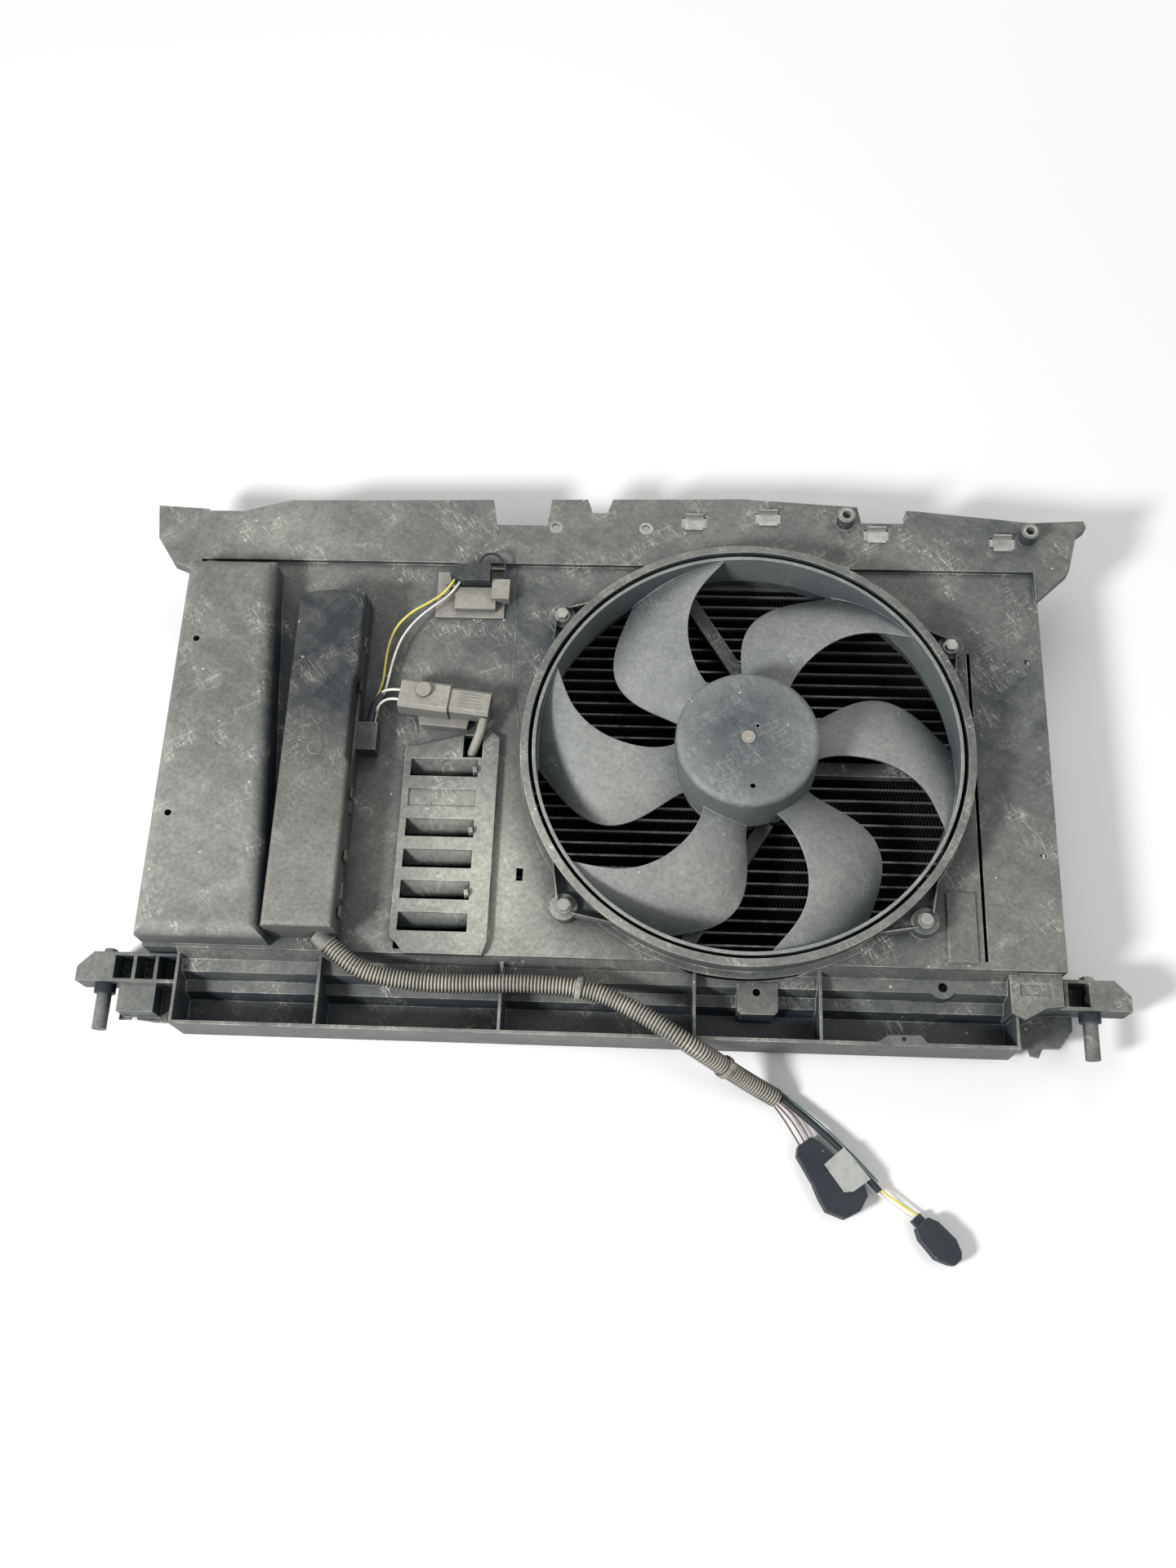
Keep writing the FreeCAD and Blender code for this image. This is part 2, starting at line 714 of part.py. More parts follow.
# Top flange with its notches, turned edge and two ears
def addFlange(made):
    head = S["flangeHead"]
    end = S["flangeEnd"]
    flange = made.sketch("XY_Plane", FLANGE_BASE)
    outline(flange, [
        (PANEL_LEFT, PANEL_HIGH - WALL),
        (PANEL_RIGHT, PANEL_HIGH - WALL),
        (PANEL_RIGHT, end),
        (S["fanX"] + 170, head - 11),
        (S["fanX"], head),
        (PANEL_LEFT + 84, head - 9),
        (PANEL_LEFT + 38, end),
        (PANEL_LEFT, end),
    ])
    made.pad(flange, S["flangeLip"])
    room = made.sketch("XY_Plane", FLANGE_BASE)
    outline(room, [
        (PANEL_LEFT + WALL, PANEL_HIGH),
        (PANEL_RIGHT - WALL, PANEL_HIGH),
        (PANEL_RIGHT - WALL, end - WALL),
        (S["fanX"] + 170, head - 11 - WALL),
        (S["fanX"], head - WALL),
        (PANEL_LEFT + 84, head - 9 - WALL),
        (PANEL_LEFT + 38, end - WALL),
        (PANEL_LEFT + WALL, end - WALL),
    ])
    made.pocket(room, FLANGE_UNDER - FLANGE_BASE, back=True)
    ears = made.sketch("XY_Plane", FLANGE_BASE)
    low = end - S["earDrop"]
    reach = S["earReach"]
    outline(ears, [
        (PANEL_LEFT + WALL, low),
        (PANEL_LEFT - reach / 2, low + 12),
        (PANEL_LEFT - reach * 0.84, low + 38),
        (PANEL_LEFT - reach * 0.94, end + 5),
        (PANEL_LEFT + WALL, end + 2),
    ])
    outline(ears, [
        (PANEL_RIGHT - WALL, low - 15),
        (PANEL_RIGHT + reach * 0.6, low + 17),
        (PANEL_RIGHT + reach * 0.8, low + 58),
        (PANEL_RIGHT + reach, low + 66),
        (PANEL_RIGHT + reach * 0.96, end + 3),
        (PANEL_RIGHT - WALL, end),
    ])
    made.pad(ears, S["flangeLip"])
    notch = made.sketch("XY_Plane", S["flangeTop"] + 1)
    outline(notch, [
        (-119, head + 5),
        (-112, head - 33),
        (-64, head - 33),
        (-58, head + 5),
    ])
    outline(notch, [
        (-27, head + 5),
        (-19, head - 18),
        (-5, head - 18),
        (3, head + 5),
    ])
    outline(notch, [
        (236, head + 5),
        (242, head - 25),
        (282, head - 25),
        (289, head + 5),
    ])
    made.pocket(notch, S["flangeLip"] + 2)
    windows = made.sketch("XY_Plane", S["flangeTop"] + 1)
    for x, y in CLIP_PLACES:
        rectangle(windows, (x - 12, x + 12), (y - 7, y + 5))
    made.pocket(windows, WALL + 2)


# Places on the top flange, each held below its highest line
HEAD = S["flangeHead"]
CLIP_PLACES = ((80, HEAD - 26), (152, HEAD - 20), (256, HEAD - 37), (376, HEAD - 44))
EYELET_PLACES = ((-54.3, HEAD - 35), (33.4, HEAD - 35))
BOSS_PLACES = ((226, HEAD - 24.7), (399.4, HEAD - 39.6))
BOSS_TOP = 90
BOSS_RADIUS = 8.5
INSERT_RADIUS = 6.5
EYELET_BORE = 4.2


def addChannel(made):
    left = S["channelLeft"]
    run = S["channelRight"] - left
    trough = made.sketch("YZ_Plane", left)
    channelProfile(trough)
    made.pad(trough, run)
    places = [left] + list(RIB_PLACES) + [S["channelRight"] - S["ribThick"]]
    for place in places:
        rib = made.sketch("YZ_Plane", place)
        outline(rib, [
            (PANEL_LOW + 2, S["lipTop"]),
            (WALL / 2 - S["channelLip"], S["lipTop"]),
            (WALL / 2 - S["channelLip"], S["channelFloor"] - WALL / 2),
            (-S["channelDeep"], S["channelFloor"] - WALL / 2),
            (PANEL_LOW - 17, S["channelFloor"] + 17),
            (PANEL_LOW - 4, S["faceTop"] - 19),
        ])
        made.pad(rib, S["ribThick"])


# The two lower lugs are open trays with ribs, each with a seat for its locating peg
def addLugs(made):
    for sign, end in ((-1, S["channelLeft"]), (1, S["channelRight"])):
        tip = S["lugTip"] * sign
        inner = end - sign * S["ribThick"] / 2
        tray = made.sketch("XY_Plane", S["lugBase"])
        shoulder = tip - sign * 14
        outline(tray, [
            (inner, -S["lugFoot"]),
            (tip, -S["lugFoot"]),
            (tip, -S["lugHead"] - 14),
            (shoulder, -S["lugHead"]),
            (inner, -S["lugHead"]),
        ])
        made.pad(tray, S["lugTop"] - S["lugBase"])
        cells = made.sketch("XY_Plane", S["lugTop"])
        wall = S["panelWall"]
        pitch = (S["lugTip"] - 14 - sign * end) / 4
        for index in range(3):
            near = end + sign * (wall + pitch * index)
            far = end + sign * (pitch * (index + 1))
            rectangle(cells, (near, far), (wall - S["lugFoot"], -S["lugHead"] - wall))
        made.pocket(cells, S["lugTop"] - S["lugBase"] - wall)
        peg = S["pegLeft"] if sign < 0 else S["pegRight"]
        bore = made.sketch("XZ_Plane", S["lugFoot"] + 1)
        circle(bore, peg, S["pegHeight"], S["pegNeck"])
        made.pocket(bore, S["lugFoot"] - S["lugHead"] + 2)


SLOPE_BOSS = (124, 159)
SLOPE_BOSS_TOP = 52
SIDE_BOSS_TOP = 62
LEDGE_TOP = 46
ROUND_BOSS = (302.5, -209)
ROUND_BOSS_RADIUS = 12
ROUND_BOSS_TOP = 50.5


# Hollow bosses on the slope and beside the channel, its end plates and the tab on its lip
def addChannelBosses(made):
    floor = S["channelFloor"]
    near, far = SLOPE_BOSS
    foot = S["channelDeep"] + 6
    square = made.sketch("XY_Plane", floor - 1)
    outline(square, [
        (near, -212),
        (far, -212),
        (far, 3 - foot),
        (far - 3, -foot),
        (near + 3, -foot),
        (near, 3 - foot),
    ])
    made.pad(square, SLOPE_BOSS_TOP + 1 - floor)
    knob = made.sketch("XY_Plane", floor + 19)
    circle(knob, *ROUND_BOSS, ROUND_BOSS_RADIUS)
    made.pad(knob, ROUND_BOSS_TOP - 19 - floor)
    for base, top, head in (
        (S["lugBase"], SKIRT, -S["lugHead"]),
        (SKIRT, SIDE_BOSS_TOP, PANEL_LOW + 1),
    ):
        side = made.sketch("XY_Plane", base)
        outline(side, [
            (358, head),
            (PANEL_RIGHT - 3, head),
            (PANEL_RIGHT - 3, -S["lugFoot"]),
            (388, -229),
            (369, -239.5),
            (361.5, -236),
            (358, -234),
        ])
        made.pad(side, top - base)
    ledge = made.sketch("XY_Plane", S["lugBase"])
    rectangle(ledge, (-425, -392), (-253, WALL - S["lugFoot"]))
    made.pad(ledge, LEDGE_TOP - S["lugBase"])
    plates = made.sketch("XY_Plane", S["lugBase"])
    outline(plates, [
        (S["channelLeft"] + 1, WALL - S["lugFoot"]),
        (S["channelLeft"] + 1, -258),
        (-395.5, -257.5),
        (-412, -255.5),
        (-415, -249.5),
        (-419, -255.8),
        (-429, -256),
        (-429, WALL - S["lugFoot"]),
    ])
    outline(plates, [
        (S["channelRight"] - 1, WALL - S["lugFoot"]),
        (S["channelRight"] - 1, -258),
        (379, -257),
        (381, -263),
        (388, -264.5),
        (392, -256.5),
        (407, -256),
        (419, -240),
        (419, WALL - S["lugFoot"]),
    ])
    made.pad(plates, WALL)
    tab = made.sketch("XY_Plane", S["lipTop"] - 1.8)
    lip = S["channelLip"]
    outline(tab, [(241, 1 - lip), (252, 9 - lip), (280, 9.5 - lip), (287, 1 - lip)])
    made.pad(tab, 1.8)
    hollows = made.sketch("XY_Plane", floor - 5)
    rectangle(hollows, (near + WALL, far - WALL), (WALL - foot, -212 - WALL))
    made.pocket(hollows, SLOPE_BOSS_TOP - WALL - floor + 5, back=True)
    core = made.sketch("XY_Plane", floor)
    circle(core, *ROUND_BOSS, ROUND_BOSS_RADIUS - WALL)
    made.pocket(core, ROUND_BOSS_TOP - WALL - floor, back=True)
    room = made.sketch("XY_Plane", S["lugBase"] - 1)
    ends = (358 + 2 * WALL, PANEL_RIGHT - 3 - WALL)
    rectangle(room, ends, (WALL - S["lugFoot"], -S["lugHead"] - WALL))
    made.pocket(room, SIDE_BOSS_TOP - WALL - S["lugBase"] + 1, back=True)
    under = made.sketch("XY_Plane", S["lugBase"] - 1)
    rectangle(under, (-425 + WALL, -392 - WALL), (-253 + WALL, -S["lugFoot"]))
    made.pocket(under, LEDGE_TOP - WALL - S["lugBase"] + 1, back=True)
    recess = made.sketch("XY_Plane", SIDE_BOSS_TOP)
    rectangle(recess, (366, 393), (-219, -208))
    made.pocket(recess, WALL / 2)
    holes = made.sketch("XY_Plane", SIDE_BOSS_TOP)
    circle(holes, 140.5, -220.5, 3.5)
    circle(holes, 302.5, -211, 4)
    circle(holes, 265.6, 6 - lip, 2)
    made.pocket(holes, SIDE_BOSS_TOP - floor - 20)


SLOT_ROWS = (0, 2, 3, 4, 5)
CLOSED_ROW = 1
SLOT_COUNT = 6


# Raised louvre block with five open slots and one closed row, each slot under a sloping slat
def addLouvres(made):
    rise = S["plateauRise"]
    foot = S["slotHead"] - S["slotPitch"] * SLOT_COUNT
    plateau = made.sketch("XY_Plane", UNDER_FACE)
    outline(plateau, [
        (S["slotLeft"] - 6, foot + 8),
        (S["slotLeft"] + 8, foot - 8),
        (S["slotRight"] + 14, foot - 8),
        (S["slotRight"] + 18, foot + 4),
        (S["slotRight"] + 18, S["slotHead"] + 22),
        (S["slotRight"] + 8, S["slotHead"] + 30),
        (S["slotLeft"] - 6, S["slotHead"] + 10),
    ])
    made.pad(plateau, WALL + rise)
    below = made.sketch("XY_Plane", UNDER_FACE)
    rectangle(
        below,
        (S["slotLeft"] - 3, S["slotRight"] + 14),
        (foot - 3, S["slotHead"] + 8),
    )
    made.pocket(below, rise, back=True)
    slots = made.sketch("XY_Plane", S["faceTop"] + rise + 1)
    for row in SLOT_ROWS:
        top = S["slotHead"] - S["slotPitch"] * row
        rectangle(slots, (S["slotLeft"], S["slotRight"]), (top - S["slotTall"], top))
    made.pocket(slots, WALL + 2)
    closed = made.sketch("XY_Plane", S["faceTop"] + rise)
    top = S["slotHead"] - S["slotPitch"] * CLOSED_ROW
    rectangle(closed, (S["slotLeft"], S["slotRight"]), (top - S["slotTall"], top))
    made.pocket(closed, WALL / 2)
    entry = made.sketch("XY_Plane", S["faceTop"] + rise + 1)
    rectangle(entry, (S["slotRight"] - 15, S["slotRight"] + 3), (-15, 7))
    made.pocket(entry, rise + WALL + 2)
    for row in SLOT_ROWS:
        top = S["slotHead"] - S["slotPitch"] * row
        slat = made.sketch("YZ_Plane", S["slotLeft"] - 1)
        high = S["faceTop"] + rise - WALL
        outline(slat, [
            (top + 3, high),
            (top + 3, high + 1),
            (top, high + 1),
            (top - 10, high - 13),
            (top - 7, high - 13),
        ])
        made.pad(slat, S["slotRight"] - S["slotLeft"] + 2)


STAND_PLACES = (-150, 0, 140)


# Inner ribs that stand the panel on the two tanks
def addStandRibs(made):
    ribs = made.sketch("XY_Plane", SKIRT)
    reach = S["tankWidth"] - 2 * S["fitGap"]
    for y in STAND_PLACES:
        rectangle(ribs, (PANEL_LEFT + 1, PANEL_LEFT + reach), (y, y + S["ribThick"]))
        rectangle(ribs, (PANEL_RIGHT - reach, PANEL_RIGHT - 1), (y, y + S["ribThick"]))
    made.pad(ribs, UNDER_FACE + 1 - SKIRT)


def addFanOpening(made):
    throat = made.sketch("XY_Plane", SKIRT - WALL)
    circle(throat, S["fanX"], S["fanY"], HOLE_RADIUS)
    made.pocket(throat, S["bulgeTop"], back=True)
    seat = made.sketch("XY_Plane", S["faceTop"])
    circle(seat, S["fanX"], S["fanY"], FLANGE_RADIUS + 2 * S["fitGap"])
    made.pocket(seat, S["bulgeTop"], back=True)
    posts = made.sketch("XY_Plane", UNDER_FACE)
    for angle in BOLT_ANGLES:
        circle(posts, *boltPlace(angle), S["earBoss"] - 1)
    made.pad(posts, S["earTop"] - S["earThick"] - UNDER_FACE)
    threads = made.sketch("XY_Plane", S["earTop"])
    for angle in BOLT_ANGLES:
        circle(threads, *boltPlace(angle), S["boltRadius"] + S["shaftFit"])
    made.pocket(threads, S["earTop"] - UNDER_FACE + 1)


def addBosses(made):
    tall = made.sketch("XY_Plane", FLANGE_UNDER)
    for x, y in BOSS_PLACES:
        circle(tall, x, y, BOSS_RADIUS)
    made.pad(tall, BOSS_TOP - FLANGE_UNDER)
    bores = made.sketch("XY_Plane", BOSS_TOP + 1)
    for x, y in BOSS_PLACES:
        circle(bores, x, y, INSERT_RADIUS)
    made.pocket(bores, BOSS_TOP + 2 - FLANGE_UNDER)
    eyes = made.sketch("XY_Plane", S["flangeTop"] + 1)
    for x, y in EYELET_PLACES:
        circle(eyes, x, y, INSERT_RADIUS)
    made.pocket(eyes, WALL + 2)
    slit = made.sketch("XY_Plane", S["faceTop"] + 1)
    rectangle(slit, (PANEL_RIGHT - 70, PANEL_RIGHT - 67), (-192, 104))
    made.pocket(slit, WALL + 2)
    holes = made.sketch("XY_Plane", S["faceTop"] + 1)
    circle(holes, PANEL_RIGHT - 14, 96, 3)
    circle(holes, PANEL_RIGHT - 13, -94, 3)
    rectangle(holes, (-74, -68), (-130, -118))
    made.pocket(holes, WALL + 2)
    marks = made.sketch("XY_Plane", S["bulgeTop"] + 1)
    circle(marks, PANEL_LEFT + 20, 87, 3.2)
    circle(marks, PANEL_LEFT + 18, -86, 3.2)
    made.pocket(marks, S["bulgeTop"] - SKIRT)
    pad = made.sketch("XY_Plane", UNDER_FACE + 1)
    rectangle(pad, (PANEL_RIGHT - 101, PANEL_RIGHT - 76), (-193, -131))
    made.pad(pad, WALL + 1)


# Metal sleeves pressed into the eyelets and the two tall bosses
def makeInserts():
    eyelets = []
    for index, (x, y) in enumerate(EYELET_PLACES, start=1):
        sleeve = tube(f"eyelet_{index}", INSERT_RADIUS, EYELET_BORE, WALL, (x, y, FLANGE_UNDER))
        eyelets.append(sleeve)
    bosses = []
    for index, (x, y) in enumerate(BOSS_PLACES, start=1):
        long = BOSS_TOP - FLANGE_UNDER
        sleeve = tube(f"boss_insert_{index}", INSERT_RADIUS, EYELET_BORE, long, (x, y, FLANGE_UNDER))
        bosses.append(sleeve)
    return node(group("metal_inserts", eyelets + bosses), "metal_inserts")


# Folded spring clips standing in the windows of the top flange
def makeTopClips():
    clips = []
    for index, (x, y) in enumerate(CLIP_PLACES, start=1):
        clip = Moulding(f"top_clip_{index}")
        shape = clip.sketch("YZ_Plane", x - 9)
        top = S["flangeTop"]
        outline(shape, [
            (y - 10, top),
            (y + 6, top),
            (y + 6, top + 5),
            (y + 4.6, top + 5),
            (y + 4.6, top + 1.4),
            (y - 10, top + 1.4),
        ])
        clip.pad(shape, 18)
        clips.append(clip.body)
    return node(group("top_clips", clips), "top_clips")


NUT_FLATS = 11
NUT_HIGH = 5


# Pegs that locate the lower edge, each with a rubber bush against the lug and a nut behind
def makePegs():
    pegs = []
    bushes = []
    nuts = []
    radius = S["pegRadius"]
    for side, x in (("left", S["pegLeft"]), ("right", S["pegRight"])):
        start = (x, -S["pegFoot"], S["pegHeight"])
        seat = S["pegFoot"] - S["lugFoot"]
        shank = rod(f"peg_{side}_shank", radius, seat - S["bushLong"], start, "Y")
        middle = rod(f"peg_{side}_seat", S["pegSeat"], seat, start, "Y")
        long = S["pegFoot"] - S["lugHead"] + NUT_HIGH + 1
        neck = rod(f"peg_{side}_neck", S["pegNeck"], long, start, "Y")
        pegs.append(fuse(f"peg_{side}", [shank, middle, neck]))
        bushes.append(tube(
            f"peg_{side}_bush",
            radius + WALL,
            S["pegSeat"] + S["shaftFit"],
            S["bushLong"],
            (x, -S["lugFoot"] - S["bushLong"], S["pegHeight"]),
            "Y",
        ))
        above = (x, -S["lugHead"], S["pegHeight"])
        flats = hexagon(f"peg_{side}_hex", NUT_FLATS, NUT_HIGH, above, "Y")
        tapped = rod(f"peg_{side}_tap", S["pegNeck"], NUT_HIGH, above, "Y")
        nuts.append(cut(f"peg_{side}_nut", flats, [tapped]))
    node(group("locating_pegs", pegs), "locating_pegs")
    node(group("peg_bushes", bushes), "peg_bushes")
    node(group("peg_nuts", nuts), "peg_nuts")


# Fixed fan ring with its bolt ears, three arms and the motor seat

RING_INNER = S["fanRadius"] + S["ringGap"]
RING_OUTER = RING_INNER + S["ringWall"]
ARM_ENDS = (((-56, 172), (22, 54)), ((-56, -172), (22, -54)), ((180, 0), (52, 0)))


def centred(sketch):
    bind(sketch, "AttachmentOffset.Base.x", S["fanX"])
    bind(sketch, "AttachmentOffset.Base.y", S["fanY"])
    return sketch


def aroundFan(made):
    sketch = made.sketch("XZ_Plane", -S["fanY"])
    bind(sketch, "AttachmentOffset.Base.x", S["fanX"])
    return sketch


def makeShroudRing():
    made = Moulding("fan_shroud_ring")
    wall = aroundFan(made)
    bead = S["ringWall"]
    outline(wall, [
        (RING_INNER, S["ringBase"]),
        (RING_OUTER, S["ringBase"]),
        (RING_OUTER, S["faceTop"]),
        (FLANGE_RADIUS, S["faceTop"]),
        (FLANGE_RADIUS, S["faceTop"] + bead),
        (RING_OUTER, S["faceTop"] + bead),
        (RING_OUTER, S["ringTop"] - bead),
        (RING_OUTER + bead, S["ringTop"] - bead),
        (RING_OUTER + bead, S["ringTop"]),
        (RING_INNER, S["ringTop"]),
    ])
    made.turn(wall)
    arms = centred(made.sketch("XY_Plane", S["ringBase"]))
    half = S["armWide"] / 2
    for (outX, outY), (inX, inY) in ARM_ENDS:
        reach = math.hypot(outX - inX, outY - inY)
        across = -(outY - inY) / reach
        along = (outX - inX) / reach
        outer = (RING_INNER + 1.5) / math.hypot(outX, outY)
        outline(arms, [
            (outX * outer + across * half, outY * outer + along * half),
            (outX * outer - across * half, outY * outer - along * half),
            (inX - across * half, inY - along * half),
            (inX + across * half, inY + along * half),
        ])
    made.pad(arms, S["armTop"] - S["ringBase"])
    seat = centred(made.sketch("XY_Plane", S["ringBase"]))
    circle(seat, 0, 0, S["seatRadius"])
    made.pad(seat, S["seatTop"] - S["ringBase"])
    clear = centred(made.sketch("XY_Plane", S["seatTop"]))
    circle(clear, 0, 0, S["canFlange"] + S["fitGap"])
    made.pocket(clear, S["armTop"], back=True)
    bore = centred(made.sketch("XY_Plane", S["ringBase"] - 1))
    circle(bore, 0, 0, S["canRadius"] + S["fitGap"])
    made.pocket(bore, S["armTop"], back=True)
    addBoltEars(made)
    return node(made.body, "fan_shroud_ring")


def addBoltEars(made):
    top = S["earTop"]
    base = top - S["earThick"]
    webs = centred(made.sketch("XY_Plane", base))
    for angle in BOLT_ANGLES:
        radius = S["boltCircle"]
        outline(webs, [
            (RING_OUTER * 0.995 * cosine(angle - 13), RING_OUTER * 0.995 * sine(angle - 13)),
            (radius * cosine(angle - 2.8), radius * sine(angle - 2.8)),
            (radius * cosine(angle + 2.8), radius * sine(angle + 2.8)),
            (RING_OUTER * 0.995 * cosine(angle + 13), RING_OUTER * 0.995 * sine(angle + 13)),
        ])
    made.pad(webs, WALL)
    bosses = centred(made.sketch("XY_Plane", base))
    for angle in BOLT_ANGLES:
        circle(bosses, S["boltCircle"] * cosine(angle), S["boltCircle"] * sine(angle), S["earBoss"])
    made.pad(bosses, S["earThick"])
    for angle in BOLT_ANGLES:
        for turn in (-1, 1):
            rib = centred(made.sketch("XY_Plane", base))
            start = angle + turn * 13
            stop = angle + turn * 2.8
            inset = 0.7 * turn
            outline(rib, [
                (RING_OUTER * 0.995 * cosine(start), RING_OUTER * 0.995 * sine(start)),
                (S["boltCircle"] * cosine(stop), S["boltCircle"] * sine(stop)),
                (S["boltCircle"] * cosine(stop - inset), S["boltCircle"] * sine(stop - inset)),
                (RING_OUTER * 0.995 * cosine(start - inset), RING_OUTER * 0.995 * sine(start - inset)),
            ])
            made.pad(rib, S["earThick"] + 4)
    holes = centred(made.sketch("XY_Plane", base - 1))
    for angle in BOLT_ANGLES:
        circle(holes, S["boltCircle"] * cosine(angle), S["boltCircle"] * sine(angle), S["bushRadius"])
    made.pocket(holes, S["earThick"] + 6, back=True)


WASHER_THICK = 1.5
WASHER_RADIUS = 7
HEAD_HIGH = 5


def makeRingBolts():
    bolts = []
    washers = []
    bushes = []
    base = S["earTop"] - S["earThick"]
    for index, angle in enumerate(BOLT_ANGLES, start=1):
        x, y = boltPlace(angle)
        bushes.append(tube(
            f"ring_bush_{index}",
            S["bushRadius"],
            S["boltRadius"] + S["shaftFit"],
            S["earThick"],
            (x, y, base),
        ))
        washers.append(tube(
            f"ring_washer_{index}",
            WASHER_RADIUS,
            S["boltRadius"] + S["shaftFit"],
            WASHER_THICK,
            (x, y, S["earTop"]),
        ))
        under = S["earTop"] + WASHER_THICK
        head = hexagon(f"ring_bolt_{index}_hex", S["boltHead"], HEAD_HIGH, (x, y, under))
        shank = rod(
            f"ring_bolt_{index}_shank",
            S["boltRadius"],
            under - UNDER_FACE,
            (x, y, UNDER_FACE),
        )
        bolts.append(fuse(f"ring_bolt_{index}", [head, shank]))
    node(group("ring_bolts", bolts), "ring_bolts")
    node(group("ring_washers", washers), "ring_washers")
    node(group("ring_bushes", bushes), "ring_bushes")


# Fan impeller: hub, swept blades and the ring that joins their tips

# Each blade section: distance from the axis, leading and trailing angles, and their heights
BLADE_SECTIONS = (
    (58, -7, 33, 88, 73),
    (100, -2, 31.5, 91, 65),
    (142, -9.5, 25, 97, 62.5),
    (168, -18, 12, 99.5, 64),
    (194, -26, 1, 101, 67),
)


def bladeSection(made, radius, lead, trail, leadHeight, trailHeight):
    middle = S["bladeTurn"] + (lead + trail) / 2
    reach = S["fanRadius"] * (radius / 192.5)
    halfWide = reach * math.tan(math.radians((trail - lead) / 2))
    sketch = made.sketch("YZ_Plane", 0)
    turn = Rotation(Vector(0, 1, 0), middle.value)
    sketch.AttachmentOffset = Placement(Vector(), turn)
    bind(sketch, "AttachmentOffset.Rotation.Angle", middle)
    bind(sketch, "AttachmentOffset.Base.x", S["fanY"] + reach * sine(middle))
    bind(sketch, "AttachmentOffset.Base.z", S["fanX"] + reach * cosine(middle))
    high = S["fanRingTop"] + (leadHeight - 103)
    low = S["fanRingTop"] + (trailHeight - 103)
    thick = S["bladeThick"]
    start = (-halfWide, high)
    end = (halfWide, low)
    under = (-halfWide, high - thick)
    below = (halfWide, low - thick)
    arch(sketch, start, end, S["bladeCamber"])
    line(sketch, end, below)
    arch(sketch, under, below, S["bladeCamber"])
    line(sketch, under, start)
    return sketch


def makeImpeller():
    made = Moulding("fan_impeller")
    hub = aroundFan(made)
    radius = S["hubRadius"]
    outline(hub, [
        (0, S["hubBase"]),
        (radius, S["hubBase"]),
        (radius - 1.5, S["hubTop"]),
        (0, S["hubTop"]),
    ])
    made.turn(hub)
    crown = S["hubTop"].value
    made.round(S["hubRound"], lambda edge: abs(edge.BoundBox.ZMin - crown) < 0.01)
    sections = [bladeSection(made, *numbers) for numbers in BLADE_SECTIONS]
    blade = made.feature("AdditiveLoft", sections[0])
    blade.Sections = sections[1:]
    blade.Ruled = False
    doc.recompute()
    ring = made.feature("PolarPattern", None)
    ring.Originals = [blade]
    ring.Axis = (aroundAxis(made), ["V_Axis"])
    ring.Angle = 360
    bind(ring, "Occurrences", S["bladeCount"])
    made.body.Tip = ring
    trim = aroundFan(made)
    outline(trim, [
        (S["fanRadius"] - S["fanRingWall"] / 2, S["ringBase"]),
        (S["fanRadius"] * 1.2, S["ringBase"]),
        (S["fanRadius"] * 1.2, S["hubTop"]),
        (S["fanRadius"] - S["fanRingWall"] / 2, S["hubTop"]),
    ])
    made.turn(trim, "Groove")
    rim = aroundFan(made)
    wall = S["fanRingWall"]
    outline(rim, [
        (S["fanRadius"] - wall, S["fanRingBase"]),
        (S["fanRadius"], S["fanRingBase"]),
        (S["fanRadius"], S["fanRingTop"]),
        (S["fanRadius"] - wall, S["fanRingTop"]),
    ])
    made.turn(rim)
    cavity = aroundFan(made)
    outline(cavity, [
        (S["bossRadius"], S["canTop"] - 40),
        (radius - S["hubWall"], S["canTop"] - 40),
        (radius - S["hubWall"] - 1, S["hubTop"] - S["hubWall"] - 4),
        (radius - S["hubWall"] - 5, S["hubTop"] - S["hubWall"]),
        (S["bossRadius"], S["hubTop"] - S["hubWall"]),
    ])
    made.turn(cavity, "Groove")
    under = aroundFan(made)
    outline(under, [
        (0, S["canTop"] - 40),
        (S["bossRadius"] + 1, S["canTop"] - 40),
        (S["bossRadius"] + 1, S["canTop"] + 2),
        (0, S["canTop"] + 2),
    ])
    made.turn(under, "Groove")
    bores = centred(made.sketch("XY_Plane", S["hubTop"] + 1))
    circle(bores, 0, 0, S["shaftRadius"])
    made.pocket(bores, S["hubTop"])
    vents = centred(made.sketch("XY_Plane", S["hubTop"] + 1))
    circle(vents, 8.5, 11, 1.6)
    circle(vents, 4, -46, 2.4)
    made.pocket(vents, 2 * S["hubWall"])
    return node(made.body, "fan_impeller")


def aroundAxis(made):
    marker = aroundFan(made)
    geometry = marker.addGeometry(Part.LineSegment(Vector(0, 0, 0), Vector(0, 50, 0)), True)
    marker.addConstraint(Sketcher.Constraint("Coincident", geometry, 1, -1, 1))
    marker.addConstraint(Sketcher.Constraint("Vertical", geometry))
    marker.addConstraint(Sketcher.Constraint("DistanceY", -1, 1, geometry, 2, 50))
    return marker


# Motor: pressed can, end cap, magnets, bearings, brushes and the wound armature

def ringAt(name, outer, inner, base, high):
    return tube(name, outer, inner, high, (S["fanX"], S["fanY"], base))


